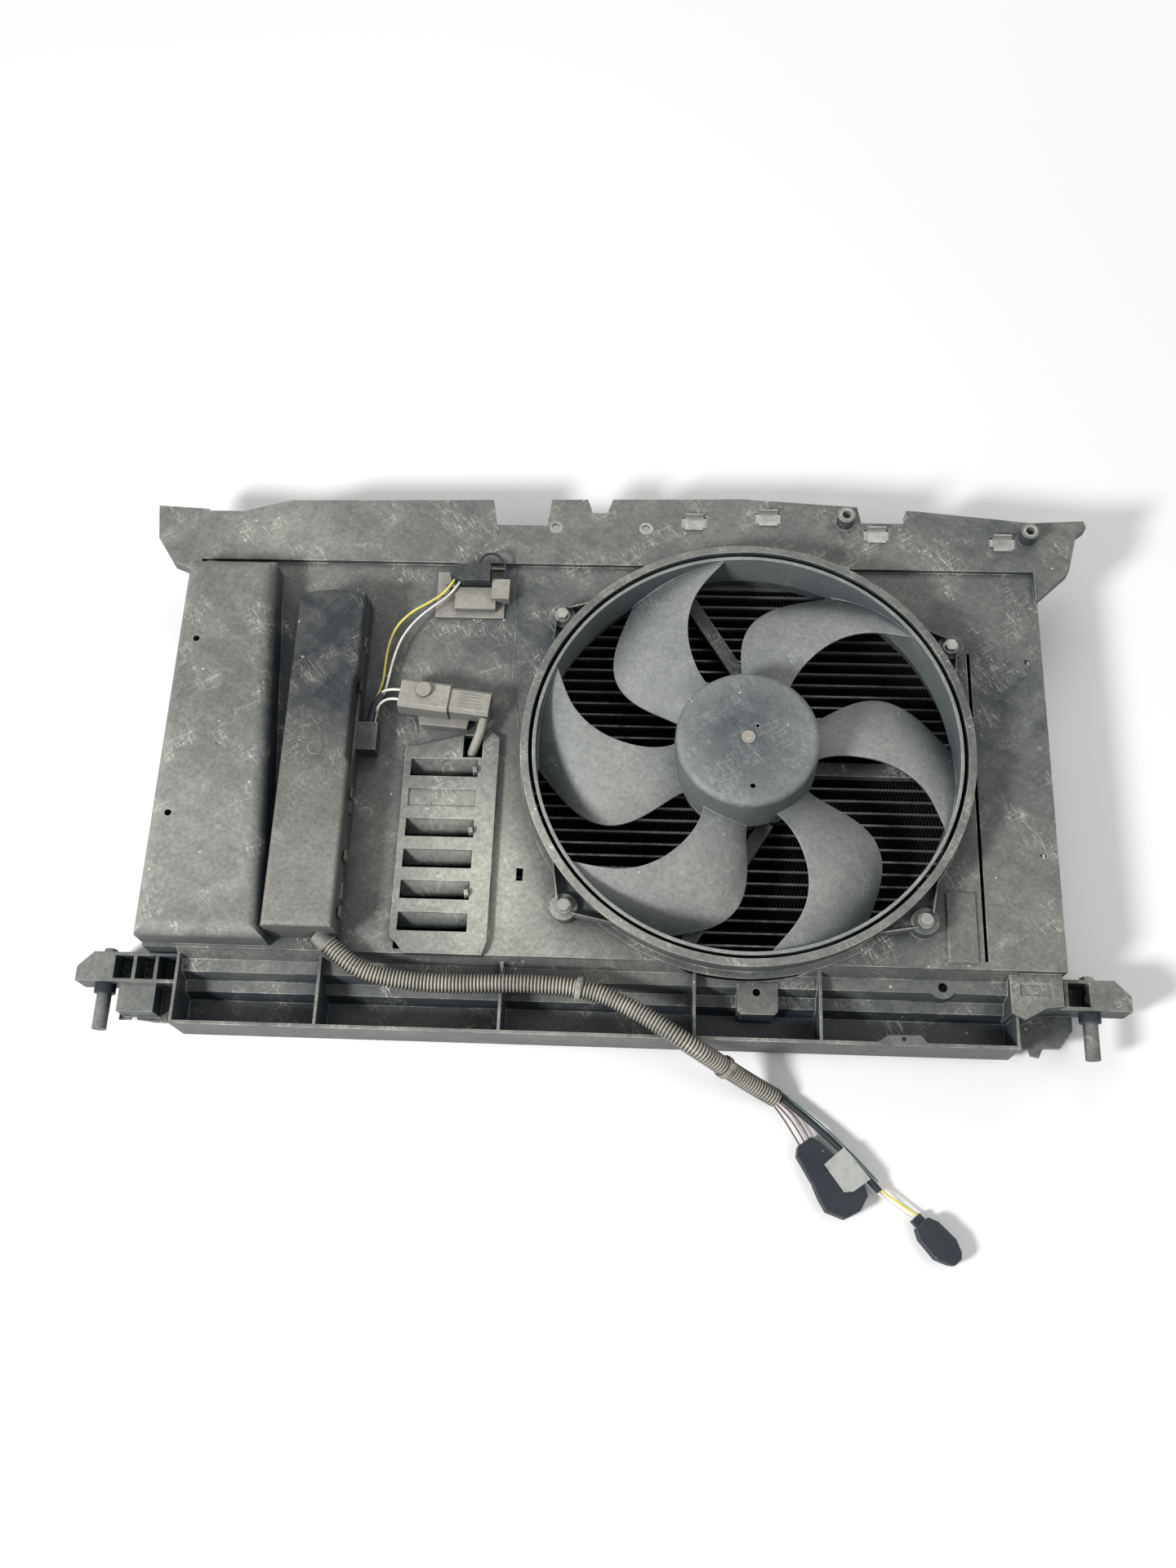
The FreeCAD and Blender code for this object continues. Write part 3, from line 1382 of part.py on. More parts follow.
def makeMotorBody():
    made = Moulding("motor_can")
    shell = aroundFan(made)
    radius = S["canRadius"]
    wall = S["canWall"]
    seat = S["seatTop"]
    top = S["canTop"]
    pocket = S["bearingRadius"]
    outline(shell, [
        (radius - wall, seat),
        (S["canFlange"], seat),
        (S["canFlange"], seat + wall),
        (radius, seat + wall),
        (radius, top - S["bearingWide"]),
        (radius - 4, top - S["bearingWide"] + wall),
        (pocket + wall, top - S["bearingWide"] + wall),
        (pocket + wall, top),
        (pocket - 2, top),
        (pocket - 2, top - 1),
        (pocket, top - 1),
        (pocket, top - S["bearingWide"] - 1),
        (radius - wall - 3, top - S["bearingWide"] - 1),
        (radius - wall, top - S["bearingWide"] - 4),
    ])
    made.turn(shell)
    holes = centred(made.sketch("XY_Plane", seat - 1))
    for angle in SCREW_ANGLES:
        circle(holes, SCREW_CIRCLE * cosine(angle), SCREW_CIRCLE * sine(angle), 2 + S["shaftFit"])
    made.pocket(holes, wall + 2, back=True)
    node(made.body, "motor_can")
    cap = Moulding("motor_end_cap")
    disc = aroundFan(cap)
    base = S["shaftBase"] - 3
    outline(disc, [
        (0, base),
        (radius - wall, base + 1),
        (radius - wall, seat),
        (pocket, seat),
        (pocket, base + 2),
        (0, base + 2),
    ])
    cap.turn(disc)
    node(cap.body, "motor_end_cap")


SCREW_ANGLES = (60, 180, 300)
SCREW_CIRCLE = (S["canRadius"] + S["canFlange"]) / 2


def makeMotorScrews():
    screws = []
    for index, angle in enumerate(SCREW_ANGLES, start=1):
        x = S["fanX"] + SCREW_CIRCLE * cosine(angle)
        y = S["fanY"] + SCREW_CIRCLE * sine(angle)
        top = S["seatTop"] + S["canWall"]
        head = rod(f"motor_screw_{index}_head", 3.6, 2.4, (x, y, top))
        shank = rod(f"motor_screw_{index}_shank", 2, S["canWall"], (x, y, S["seatTop"]))
        screws.append(fuse(f"motor_screw_{index}", [head, shank]))
    return node(group("motor_screws", screws), "motor_screws")


CORE_STACK_BASE = S["seatTop"] + 22
CORE_STACK_TOP = S["canTop"] - 15
MAGNET_INNER = S["canRadius"] - S["canWall"] - S["magnetThick"]
ARMATURE_RADIUS = MAGNET_INNER - S["airGap"]
COMMUTATOR_RADIUS = 12
COMMUTATOR_BASE = S["seatTop"] + 2
COMMUTATOR_LONG = 12


def makeMagnets():
    pieces = []
    for index, start in enumerate((50, 230), start=1):
        outer = ringAt(
            f"magnet_{index}_ring",
            S["canRadius"] - S["canWall"],
            MAGNET_INNER,
            CORE_STACK_BASE - 2,
            CORE_STACK_TOP - CORE_STACK_BASE,
        )
        wedge = doc.addObject("Part::Cylinder", f"magnet_{index}_wedge")
        wedge.Angle = 80
        wedge.Placement = Placement(Vector(), Rotation(Vector(0, 0, 1), start))
        bind(wedge, "Radius", S["canRadius"])
        bind(wedge, "Height", S["canTop"])
        put(wedge, S["fanX"], S["fanY"], 0)
        arc = doc.addObject("Part::Common", f"magnet_{index}")
        arc.Base = outer
        arc.Tool = wedge
        pieces.append(arc)
    return node(group("motor_magnets", pieces), "motor_magnets")


def makeBearings():
    bore = S["shaftRadius"] + S["shaftFit"]
    lower = ringAt(
        "bearing_lower", S["bearingRadius"], bore, S["shaftBase"] - 1, S["bearingWide"]
    )
    upper = ringAt(
        "bearing_upper",
        S["bearingRadius"],
        bore,
        S["canTop"] - 1 - S["bearingWide"],
        S["bearingWide"],
    )
    return node(group("motor_bearings", [lower, upper]), "motor_bearings")


def makeBrushes():
    holder = ringAt(
        "brush_ring",
        S["canRadius"] - S["canWall"],
        COMMUTATOR_RADIUS + 14,
        COMMUTATOR_BASE - 2,
        3,
    )
    pieces = []
    for index, sign in enumerate((-1, 1), start=1):
        near = S["fanX"] + sign * (COMMUTATOR_RADIUS + S["shaftFit"])
        far = S["fanX"] + sign * (COMMUTATOR_RADIUS + 18)
        pieces.append(block(
            f"brush_{index}",
            (far, near) if sign < 0 else (near, far),
            (S["fanY"] - 3, S["fanY"] + 3),
            (COMMUTATOR_BASE + 1, COMMUTATOR_BASE + 8),
        ))
    node(holder, "brush_holder")
    node(group("motor_brushes", pieces), "motor_brushes")


def makeRotor():
    x, y = S["fanX"], S["fanY"]
    shaft = rod("shaft_bar", S["shaftRadius"], S["pinTop"] - S["shaftBase"], (x, y, S["shaftBase"]))
    node(shaft, "motor_shaft")
    bore = S["shaftRadius"]
    stack = CORE_STACK_TOP - CORE_STACK_BASE
    node(ringAt("armature_stack", ARMATURE_RADIUS, bore, CORE_STACK_BASE, stack), "armature_core")
    lower = ringAt("winding_lower", ARMATURE_RADIUS - 5, 16, CORE_STACK_BASE - 5, 5)
    upper = ringAt("winding_upper", ARMATURE_RADIUS - 5, 16, CORE_STACK_TOP, 4)
    node(group("armature_windings", [lower, upper]), "armature_windings")
    sleeve = ringAt("commutator_bars", COMMUTATOR_RADIUS, bore, COMMUTATOR_BASE, COMMUTATOR_LONG)
    node(sleeve, "commutator")
    clip = ringAt("clip_ring", S["clipRadius"], bore, S["hubTop"], 1)
    node(clip, "hub_clip")


# Fan control box: a tray on the panel, a lid, and the board inside

BOX_SPLIT = S["boxTop"] - S["coverDeep"]


def makeControlBox():
    sides = (S["boxLeft"], S["boxRight"])
    ends = (S["boxFoot"], S["boxHead"])
    wall = S["boxWall"]
    tray = Moulding("control_box_tray")
    floor = tray.sketch("XY_Plane", S["faceTop"])
    rectangle(floor, sides, ends)
    tray.pad(floor, BOX_SPLIT - S["faceTop"])
    room = tray.sketch("XY_Plane", BOX_SPLIT)
    rectangle(room, (sides[0] + wall, sides[1] - wall), (ends[0] + wall, ends[1] - wall))
    tray.pocket(room, BOX_SPLIT - S["faceTop"] - wall)
    hooks = tray.sketch("XY_Plane", BOX_SPLIT - 10)
    for y in HOOK_PLACES:
        rectangle(hooks, (sides[1] - 1, sides[1] + 2), (y - 7, y + 7))
    tray.pad(hooks, 10)
    tip, onward = (Vector(*point) for point in CONDUIT_ROUTE[:2])
    heading = (onward - tip).normalize()
    spout = doc.addObject("Part::Cylinder", "control_box_spout")
    spout.Placement = Placement(tip - heading * SPOUT_REACH, Rotation(Vector(0, 0, 1), heading))
    bind(spout, "Radius", S["conduitRadius"] + 0.9)
    bind(spout, "Height", SPOUT_REACH)
    node(fuse("control_box_base", [tray.body, spout]), "control_box_base")

    lid = Moulding("control_box_cover")
    top = lid.sketch("XY_Plane", BOX_SPLIT)
    notch = 3
    outline(top, [
        (sides[0], ends[0]),
        (sides[1], ends[0]),
        (sides[1], -36),
        (sides[1] - notch, -30),
        (sides[1] - notch, 46),
        (sides[1], 52),
        (sides[1], ends[1] - 4),
        (sides[1] - 24, ends[1]),
        (sides[0] + 16, ends[1] - 2),
        (sides[0], ends[1] - 6),
    ])
    lid.pad(top, S["coverDeep"])
    crown = S["boxTop"].value
    lid.round(S["coverRound"], lambda edge: abs(edge.BoundBox.ZMin - crown) < 0.01)
    inside = lid.sketch("XY_Plane", BOX_SPLIT)
    rectangle(
        inside,
        (sides[0] + wall, sides[1] - wall - notch),
        (ends[0] + wall, ends[1] - wall - 6),
    )
    lid.pocket(inside, S["coverDeep"] - wall, back=True)
    boss = lid.sketch("XY_Plane", S["boxTop"])
    circle(boss, -257, -23, 7)
    lid.pad(boss, 0.8)
    node(lid.body, "control_box_cover")

    board = block(
        "control_board_sheet",
        (sides[0] + wall + S["fitGap"], sides[1] - wall - S["fitGap"]),
        (ends[0] + wall + 10, ends[1] - wall - 12),
        (S["faceTop"] + wall, S["faceTop"] + wall + 2),
    )
    relays = []
    for index, y in enumerate(RELAY_PLACES, start=1):
        relays.append(block(
            f"control_relay_{index}",
            (sides[0] + 12, sides[0] + 38),
            (y, y + 30),
            (S["faceTop"] + wall + 2, BOX_SPLIT + 8),
        ))
    node(fuse("control_board", [board] + relays), "control_board")
    entry = Moulding("box_lead_plug")
    face = entry.sketch("XY_Plane", S["faceTop"])
    rectangle(face, (sides[1], sides[1] + 18), (LEAD_ENTRY - 27, LEAD_ENTRY))
    entry.pad(face, BOX_SPLIT - S["faceTop"] - 4)
    node(entry.body, "box_lead_plug")


HOOK_PLACES = (-150, -70, 90)
RELAY_PLACES = (-140, -90, -40, 30, 80)
LEAD_ENTRY = 13
SPOUT_REACH = 13


# Resistor with its bracket and plug beside the top step of the panel
def makeResistor():
    base = S["faceTop"]
    plate = block("resistor_plate", (-166, -100), (131, 180), (base, base + 2))
    lip = block("resistor_lip", (-140, -100), (180, 182), (base, base + 9))
    hole = rod("resistor_hole", 2.4, 6, (-159, 158, base - 1))
    sheet = fuse("resistor_sheet", [plate, lip])
    node(cut("resistor_bracket", sheet, [hole]), "resistor_bracket")
    body = block("resistor_block", (-147, -108), (137, 160), (base + 2, base + 9))
    side = block("resistor_side", (-112, -95), (146, 167), (base + 2, base + 13))
    node(fuse("resistor_body", [body, side]), "resistor_body")
    plug = Moulding("resistor_plug")
    shape = plug.sketch("XY_Plane", base + 2)
    outline(shape, [
        (-152, 168),
        (-140, 162),
        (-114, 162),
        (-114, 180),
        (-142, 180),
        (-152, 176),
    ])
    plug.pad(shape, 18)
    node(plug.body, "resistor_plug")
    screw = fuse("resistor_screw", [
        rod("resistor_screw_head", 5.5, 3.5, (-159, 158, base + 2)),
        rod("resistor_screw_shank", 2.4, 2, (-159, 158, base)),
    ])
    node(screw, "resistor_screw")


CONNECTOR_TURN = -6.8
CONNECTOR_PLACE = Vector(-188.5, 41, 0)


# In-line connector pair on its mounting blade between the control box and the fan
def makeConnector():
    top = S["faceTop"]
    turn = Placement(CONNECTOR_PLACE, Rotation(Vector(0, 0, 1), CONNECTOR_TURN))
    low = top + 7
    blade = Moulding("connector_blade")
    flat = blade.sketch("XY_Plane", top)
    outline(flat, [(16, -10), (20, -22), (64, -20), (66, 10), (16, 10)])
    blade.pad(flat, 7)
    socket = Moulding("connector_socket")
    shape = socket.sketch("YZ_Plane", 0)
    outline(shape, [(-14, low), (14, low), (14, low + 17), (11, low + 20), (-11, low + 20), (-14, low + 17)])
    socket.pad(shape, 46)
    plug = Moulding("connector_plug")
    face = plug.sketch("YZ_Plane", 46)
    outline(face, [(-12, low), (12, low), (12, low + 15), (9, low + 18), (-9, low + 18), (-12, low + 15)])
    plug.pad(face, 38)
    for piece in (blade, socket, plug):
        piece.body.Placement = turn
        node(piece.body, piece.name)
    lock = rod("connector_lock_button", 7, 3.5, (-166, 42, low + 20))
    node(lock, "connector_lock")


# Wiring: straight runs joined by tangent arcs

def roundedPath(points):
    corners = [Vector(*point) for point in points]
    edges = []
    start = corners[0]
    radii = []
    for before, corner, after in zip(corners, corners[1:], corners[2:]):
        inward = (corner - before).normalize()
        onward = (after - corner).normalize()
        half = inward.getAngle(onward) / 2
        shorter = min((corner - before).Length, (after - corner).Length)
        tangent = 0.45 * shorter
        radius = tangent / math.tan(half)
        radii.append(round(radius, 1))
        entry = corner - inward * tangent
        leave = corner + onward * tangent
        bisector = (onward - inward).normalize()
        centre = corner + bisector * (radius / math.cos(half))
        middle = centre - bisector * radius
        edges.append(Part.LineSegment(start, entry).toShape())
        edges.append(Part.Arc(entry, middle, leave).toShape())
        start = leave
    edges.append(Part.LineSegment(start, corners[-1]).toShape())
    return Part.Wire(edges), radii


# Section of a cord, a regular outline with the area of the round one
def sectionFace(points, radius, sides):
    start = Vector(*points[0])
    heading = (Vector(*points[1]) - start).normalize()
    across = heading.cross(Vector(0, 0, 1)).normalize()
    up = across.cross(heading)
    step = 2 * math.pi / sides
    reach = radius.value * math.sqrt(step / math.sin(step))
    corners = [
        start + (across * math.cos(step * index) + up * math.sin(step * index)) * reach
        for index in range(sides)
    ]
    return Part.Face(Part.makePolygon(corners + corners[:1]))


def cord(name, points, radius, sides=8):
    path, radii = roundedPath(points)
    solid = path.makePipe(sectionFace(points, radius, sides))
    share = solid.Volume / (math.pi * radius.value ** 2 * path.Length)
    print(f"{name}: length {path.Length:.1f}, radii {radii}, volume share {share:.4f}")
    made = doc.addObject("Part::Feature", name)
    made.Shape = solid
    return made


CONDUIT_ROUTE = (
    (-233, -196, 81.5),
    (-216, -211.5, 79.9),
    (-188, -222.5, 75),
    (-136, -226, 70.2),
    (-62, -222.5, 69.6),
    (-2, -226, 69.8),
    (42, -247, 71),
    (82, -271.5, 71.4),
    (112, -284.5, 46),
    (137, -295, 23.5),
    (160, -304.5, 10.2),
)
PLUG_WIRE_NEAR = (
    (159.65, -305.3, 10.2),
    (173.5, -315.5, 8.5),
    (183, -327, 8),
    (188.9, -338.1, 8),
)
PLUG_WIRE_FAR = (
    (157.6, -310.1, 10.2),
    (166.5, -321, 8.5),
    (174, -333, 8),
    (180.8, -344.4, 8),
)
PLUG_WIRE_COUNT = 3
TAIL_ROUTE = (
    (161.3, -301.5, 10.2),
    (186, -320, 9.5),
    (208, -339.5, 11.5),
    (229, -360.5, 12.6),
    (248, -380.5, 9),
)
GREEN_ROUTE = (
    (162.8, -297.9, 10.2),
    (188.9, -317, 10),
    (210.9, -336.4, 11.9),
    (231.9, -357.4, 13),
    (246.8, -373, 10.5),
)
TAIL_WHITE_ROUTE = (
    (247, -381.6, 9),
    (260, -393, 6.5),
    (276.4, -402.6, 6),
)
TAIL_YELLOW_ROUTE = (
    (249.1, -379.5, 9),
    (264, -389.5, 7),
    (280, -399.4, 6),
)
RESISTOR_YELLOW = (
    (-148.6, 166.3, 82),
    (-155.3, 152.9, 82.5),
    (-170, 141, 83),
    (-186, 131, 83),
    (-199.8, 116.1, 82),
    (-206.1, 98, 81),
    (-207.9, 78, 80),
    (-208.5, 58, 78.5),
    (-213.5, 42, 77),
    (-217.5, 27, 75.5),
    (-217.5, 13, 75),
)
RESISTOR_WHITE = (
    (-143.4, 163.7, 82),
    (-150.2, 150.2, 82.5),
    (-167.5, 136, 83),
    (-182, 122, 83),
    (-193.5, 105, 82),
    (-199.3, 87, 81),
    (-202.5, 69, 80),
    (-205, 52, 78.5),
    (-209.5, 37, 77),
    (-213.5, 25, 75.5),
    (-213.5, 13, 75),
)
CONNECTOR_UPPER = (
    (-187.9, 46, 88),
    (-198, 47.2, 88),
    (-207.5, 44, 87),
    (-214, 35, 85.5),
    (-217.5, 24, 83.8),
    (-217.5, 13, 83.2),
)
CONNECTOR_LOWER = (
    (-189, 36.5, 88),
    (-198, 37.6, 88),
    (-206, 34.5, 87),
    (-211.5, 27, 85.5),
    (-213.5, 20, 84),
    (-213.5, 13, 83.2),
)
RESISTOR_LOOP = (
    (-125, 180, 86),
    (-124, 187.5, 87),
    (-117, 192.5, 87.5),
    (-108, 191.5, 87),
    (-101.5, 185, 84),
    (-99.5, 176, 80),
    (-99.5, 167, 78.5),
)
LEAD_SLEEVE_ROUTE = (
    (-110.5, 19.3, 86),
    (-112.3, 9.5, 84.5),
    (-117, -0.8, 78),
    (-122, -9.5, 68.5),
)


# A cable tie round the conduit: a strap with its square lock
def makeTies():
    path, _ = roundedPath(CONDUIT_ROUTE)
    ties = []
    inner = S["conduitRadius"].value + S["fitGap"].value
    for index, share in enumerate(TIE_SHARES, start=1):
        edge_length = path.Length * share
        point, direction = pointAlong(path, edge_length)
        half = direction * (TIE_WIDE / 2)
        outside = Part.makeCylinder(inner + TIE_THICK, TIE_WIDE, point - half, direction)
        bore = Part.makeCylinder(inner, TIE_WIDE, point - half, direction)
        lock = Part.makeBox(TIE_WIDE, TIE_WIDE, TIE_WIDE, Vector(-TIE_WIDE / 2, -TIE_WIDE / 2, inner + 0.2))
        turn = Rotation(Vector(1, 0, 0), direction)
        lock = lock.transformGeometry(Placement(point, turn).toMatrix())
        tie = doc.addObject("Part::Feature", f"conduit_tie_{index}")
        tie.Shape = outside.fuse(lock).cut(bore)
        ties.append(tie)
    return node(group("conduit_ties", ties), "conduit_ties")


TIE_SHARES = (0.52, 0.86)
TIE_WIDE = 4.5
TIE_THICK = 1.4


def pointAlong(path, distance):
    for edge in path.OrderedEdges:
        if distance <= edge.Length:
            place = edge.getParameterByLength(distance)
            return edge.valueAt(place), edge.tangentAt(place).normalize()
        distance -= edge.Length
    raise ValueError("the tie lies past the end of the conduit")


def makeHarness():
    node(cord("harness_conduit", CONDUIT_ROUTE, S["conduitRadius"], 12), "harness_conduit")
    last = PLUG_WIRE_COUNT - 1
    for index in range(PLUG_WIRE_COUNT):
        share = index / last
        route = [
            tuple(near + (far - near) * share for near, far in zip(*pair))
            for pair in zip(PLUG_WIRE_NEAR, PLUG_WIRE_FAR)
        ]
        name = f"plug_wire_{index + 1}"
        node(cord(name, route, S["thinRadius"]), name)
    node(cord("tail_sleeve", TAIL_ROUTE, S["tailRadius"], 10), "tail_sleeve")
    node(cord("tail_wire_green", GREEN_ROUTE, S["thinRadius"]), "tail_wire_green")
    node(cord("tail_wire_white", TAIL_WHITE_ROUTE, S["wireRadius"]), "tail_wire_white")
    node(cord("tail_wire_yellow", TAIL_YELLOW_ROUTE, S["wireRadius"]), "tail_wire_yellow")


def makeLeads():
    pair = [
        cord("resistor_yellow", RESISTOR_YELLOW, S["wireRadius"]),
        cord("resistor_white", RESISTOR_WHITE, S["wireRadius"]),
    ]
    node(group("resistor_leads", pair), "resistor_leads")
    pair = [
        cord("connector_upper", CONNECTOR_UPPER, S["wireRadius"]),
        cord("connector_lower", CONNECTOR_LOWER, S["wireRadius"]),
    ]
    node(group("connector_leads", pair), "connector_leads")
    node(cord("resistor_loop", RESISTOR_LOOP, S["wireRadius"]), "resistor_loop")
    node(cord("lead_sleeve", LEAD_SLEEVE_ROUTE, S["sleeveRadius"], 10), "lead_sleeve")


PLUG_PLACE = Placement(Vector(184, -343, 0), Rotation(Vector(0, 0, 1), -54))
PLUG_TOP = 16


# Rubber-booted multi-pin plug, its bare label flag, and the small plug on the tail
def makePlugs():
    made = Moulding("module_plug")
    boot = made.sketch("XY_Plane", 0.5)
    outline(boot, [(-1, 8), (-1, -6), (5, -11.5), (30, -14), (33, -13), (33, 15), (22, 15), (6, 12)])
    made.pad(boot, PLUG_TOP - 1.5)
    shell = made.sketch("XY_Plane", 0)
    outline(shell, [(31, -14), (43, -17), (56, -18.5), (70, -9), (72, 5), (66, 18), (56, 22), (31, 17)])
    made.pad(shell, PLUG_TOP)
    made.body.Placement = PLUG_PLACE
    node(made.body, "module_plug")

    flag = Moulding("plug_label")
    sheet = flag.sketch("XY_Plane", PLUG_TOP + S["fitGap"])
    outline(sheet, [(24, 3), (52, 3), (56, 10), (56, 28.5), (22, 26)])
    flag.pad(sheet, 0.8)
    flag.body.Placement = PLUG_PLACE
    node(flag.body, "plug_label")

    end = Moulding("end_plug")
    neck = end.sketch("YZ_Plane", -1)
    rectangle(neck, (-5, 5), (2, 10))
    end.pad(neck, 10)
    outer = end.sketch("XY_Plane", 0)
    outline(outer, [(6, -7), (14, -11), (34, -12), (44, -7), (48, -4), (48, 4), (44, 8), (34, 12), (14, 11), (6, 7)])
    end.pad(outer, 15)
    end.body.Placement = Placement(Vector(278.5, -401.6, 0), Rotation(Vector(0, 0, 1), -47))
    node(end.body, "end_plug")


makeFeatures = [
    makeFins,
    makeSidePlates,
    makeGaskets,
    makeDrainPlug,
    makePanel,
    makeInserts,
    makeTopClips,
    makePegs,
    makeShroudRing,
    makeRingBolts,
    makeImpeller,
    makeMotorBody,
    makeMotorScrews,
    makeMagnets,
    makeBearings,
    makeBrushes,
    makeRotor,
    makeControlBox,
    makeResistor,
    makeConnector,
    makeHarness,
    makeTies,
    makeLeads,
    makePlugs,
]

makeHeaders(makeTubes())
makeTank("tank_left", -1)
makeTank("tank_right", 1)
for makeFeature in makeFeatures:
    makeFeature()
    doc.recompute()
    print("made", makeFeature.__name__)

doc.recompute()

# Every object is sound before anything is written
for thing in doc.Objects:
    if "Invalid" in thing.State or "Error" in thing.State:
        raise RuntimeError(f"{thing.Label} is {thing.State}")
for piece in NODES:
    if piece.Shape.isNull() or not piece.Shape.isValid() or not piece.Shape.Solids:
        raise RuntimeError(f"{piece.Label} has no sound solid")

for piece in NODES:
    piece.Shape.exportStep(f"parts/{piece.Label}.step")
print(len(NODES), "nodes written")
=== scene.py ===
import json
import math

import bpy
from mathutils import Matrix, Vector


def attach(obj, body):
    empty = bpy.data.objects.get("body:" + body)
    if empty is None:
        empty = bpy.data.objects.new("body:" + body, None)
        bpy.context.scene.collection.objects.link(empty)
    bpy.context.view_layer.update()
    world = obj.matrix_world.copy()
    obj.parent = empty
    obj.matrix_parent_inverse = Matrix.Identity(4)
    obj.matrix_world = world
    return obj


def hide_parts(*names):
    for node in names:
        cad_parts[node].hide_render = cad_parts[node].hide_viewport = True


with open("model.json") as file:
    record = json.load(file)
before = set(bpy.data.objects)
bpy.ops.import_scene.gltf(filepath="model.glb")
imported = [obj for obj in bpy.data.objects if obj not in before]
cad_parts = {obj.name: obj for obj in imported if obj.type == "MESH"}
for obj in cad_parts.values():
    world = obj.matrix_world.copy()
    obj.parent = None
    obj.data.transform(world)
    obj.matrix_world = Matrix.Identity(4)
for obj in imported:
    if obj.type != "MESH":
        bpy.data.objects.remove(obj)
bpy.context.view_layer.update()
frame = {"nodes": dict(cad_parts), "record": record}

# A car radiator with its moulded front panel, ring fan, control box and wiring, on its back

scene = bpy.context.scene
nodes = frame["nodes"]
print("frame loaded,", len(nodes), "nodes")


# Camera and light

cameraLook = {
    "place": (0.04483, -0.51425, 1.30191),
    "turn": (21.28, 1.85, 2.18),   # degrees about X, Y and Z
    "lens": 33.29,                 # mm on a 36 mm long side
}


def makeCamera(look):
    data = bpy.data.cameras.new("camera")
    data.lens = look["lens"]
    data.sensor_width = 36
    data.clip_start = 0.05
    data.clip_end = 50
    made = bpy.data.objects.new("camera", data)
    made.location = look["place"]
    made.rotation_euler = [math.radians(angle) for angle in look["turn"]]
    scene.collection.objects.link(made)
    scene.camera = made


makeCamera(cameraLook)
scene.view_settings.view_transform = "Standard"

lightLook = {
    "world": 0.34,
    "lamps": (
        # name, place, target, width, watts
        ("keyLamp", (-1.7, -1.3, 1.7), (0, 0, 0), 0.55, 84),
        ("fillLamp", (1.7, -0.5, 2.2), (0, 0, 0), 1.6, 17),
        ("backLamp", (0.2, 1.9, 1.8), (0, 0, 0), 1.4, 16),
    ),
}


def makeLights(look):
    for name, place, target, width, watts in look["lamps"]:
        data = bpy.data.lights.new(name, "AREA")
        data.shape = "DISK"
        data.size = width
        data.energy = watts
        lamp = bpy.data.objects.new(name, data)
        lamp.location = place
        away = Vector(place) - Vector(target)
        lamp.rotation_euler = away.to_track_quat("Z", "Y").to_euler()
        scene.collection.objects.link(lamp)


makeLights(lightLook)
print("camera and lamps made")


# Node trees: a socket that takes + - * /, and one way to add any node

class Wire:
    def __init__(self, tree, socket):
        self.tree = tree
        self.socket = socket

    def maths(self, operation, *others):
        return self.tree.add("ShaderNodeMath", {"operation": operation}, *others)

    def __add__(self, other):
        return self.maths("ADD", self, other)

    def __radd__(self, other):
        return self.maths("ADD", other, self)

    def __sub__(self, other):
        return self.maths("SUBTRACT", self, other)

    def __rsub__(self, other):
        return self.maths("SUBTRACT", other, self)

    def __mul__(self, other):
        return self.maths("MULTIPLY", self, other)

    def __rmul__(self, other):
        return self.maths("MULTIPLY", other, self)

    def __truediv__(self, other):
        return self.maths("DIVIDE", self, other)

    def __mod__(self, other):
        return self.maths("FLOORED_MODULO", self, other)

    def __lt__(self, other):
        return self.maths("LESS_THAN", self, other)

    def __gt__(self, other):
        return self.maths("GREATER_THAN", self, other)

    def __abs__(self):
        return self.maths("ABSOLUTE", self)

    def floor(self):
        return self.maths("FLOOR", self)

    def between(self, low, high):
        values = {"From Min": low, "From Max": high, "To Min": 0.0, "To Max": 1.0}
        return self.tree.add("ShaderNodeMapRange", {"clamp": True}, self, **values)


class Tree:
    def __init__(self, tree):
        self.tree = tree

    def add(self, kind, settings=None, *values, output=0, **named):
        made = self.tree.nodes.new(kind)
        for key, value in (settings or {}).items():
            setattr(made, key, value)
        for key, value in list(enumerate(values)) + list(named.items()):
            self.feed(made.inputs[key], value)
        return Wire(self, made.outputs[output])

    def feed(self, socket, value):
        if value is None:
            return
        if isinstance(value, list):
            for part in value:
                self.feed(socket, part)
            return
        if isinstance(value, Wire):
            self.tree.links.new(value.socket, socket)
            return
        if socket.type == "RGBA" and len(value) == 3:
            value = (*value, 1)
        socket.default_value = value

    def noise(self, place, scale, detail=3.0, roughness=0.5, distortion=0.0):
        shape = {"Detail": detail, "Roughness": roughness, "Distortion": distortion}
        return self.add("ShaderNodeTexNoise", None, Vector=place, Scale=scale, **shape)

    def mix(self, share, first, second):
        made = self.add("ShaderNodeMix", {"data_type": "RGBA", "clamp_factor": True}, share, output=2)
        colours = made.socket.node.inputs[6:8]   # a Mix node's seventh and eighth sockets
        self.feed(colours[0], first)
        self.feed(colours[1], second)
        return made

    def bump(self, height, strength, distance, normal=None):
        values = {"Height": height, "Strength": strength, "Distance": distance, "Normal": normal}
        return self.add("ShaderNodeBump", None, **values)


# 1 for a ray that comes straight, or by gloss or glass, from the camera
def seenDirectly(tree):
    kinds = ("Is Camera Ray", "Is Glossy Ray", "Is Transmission Ray")
    rays = [tree.add("ShaderNodeLightPath", None, output=kind) for kind in kinds]
    return (rays[0] + rays[1] + rays[2]).between(0.0, 1.0)


# White where it is looked at, softer where it lights the object
def makeWorld(strength):
    world = bpy.data.worlds.new("studio")
    world.use_nodes = True
    tree = Tree(world.node_tree)
    back = world.node_tree.nodes["Background"]
    back.inputs["Color"].default_value = (1, 1, 1, 1)
    tree.feed(back.inputs["Strength"], seenDirectly(tree) * (1.0 - strength) + strength)
    scene.world = world


makeWorld(lightLook["world"])


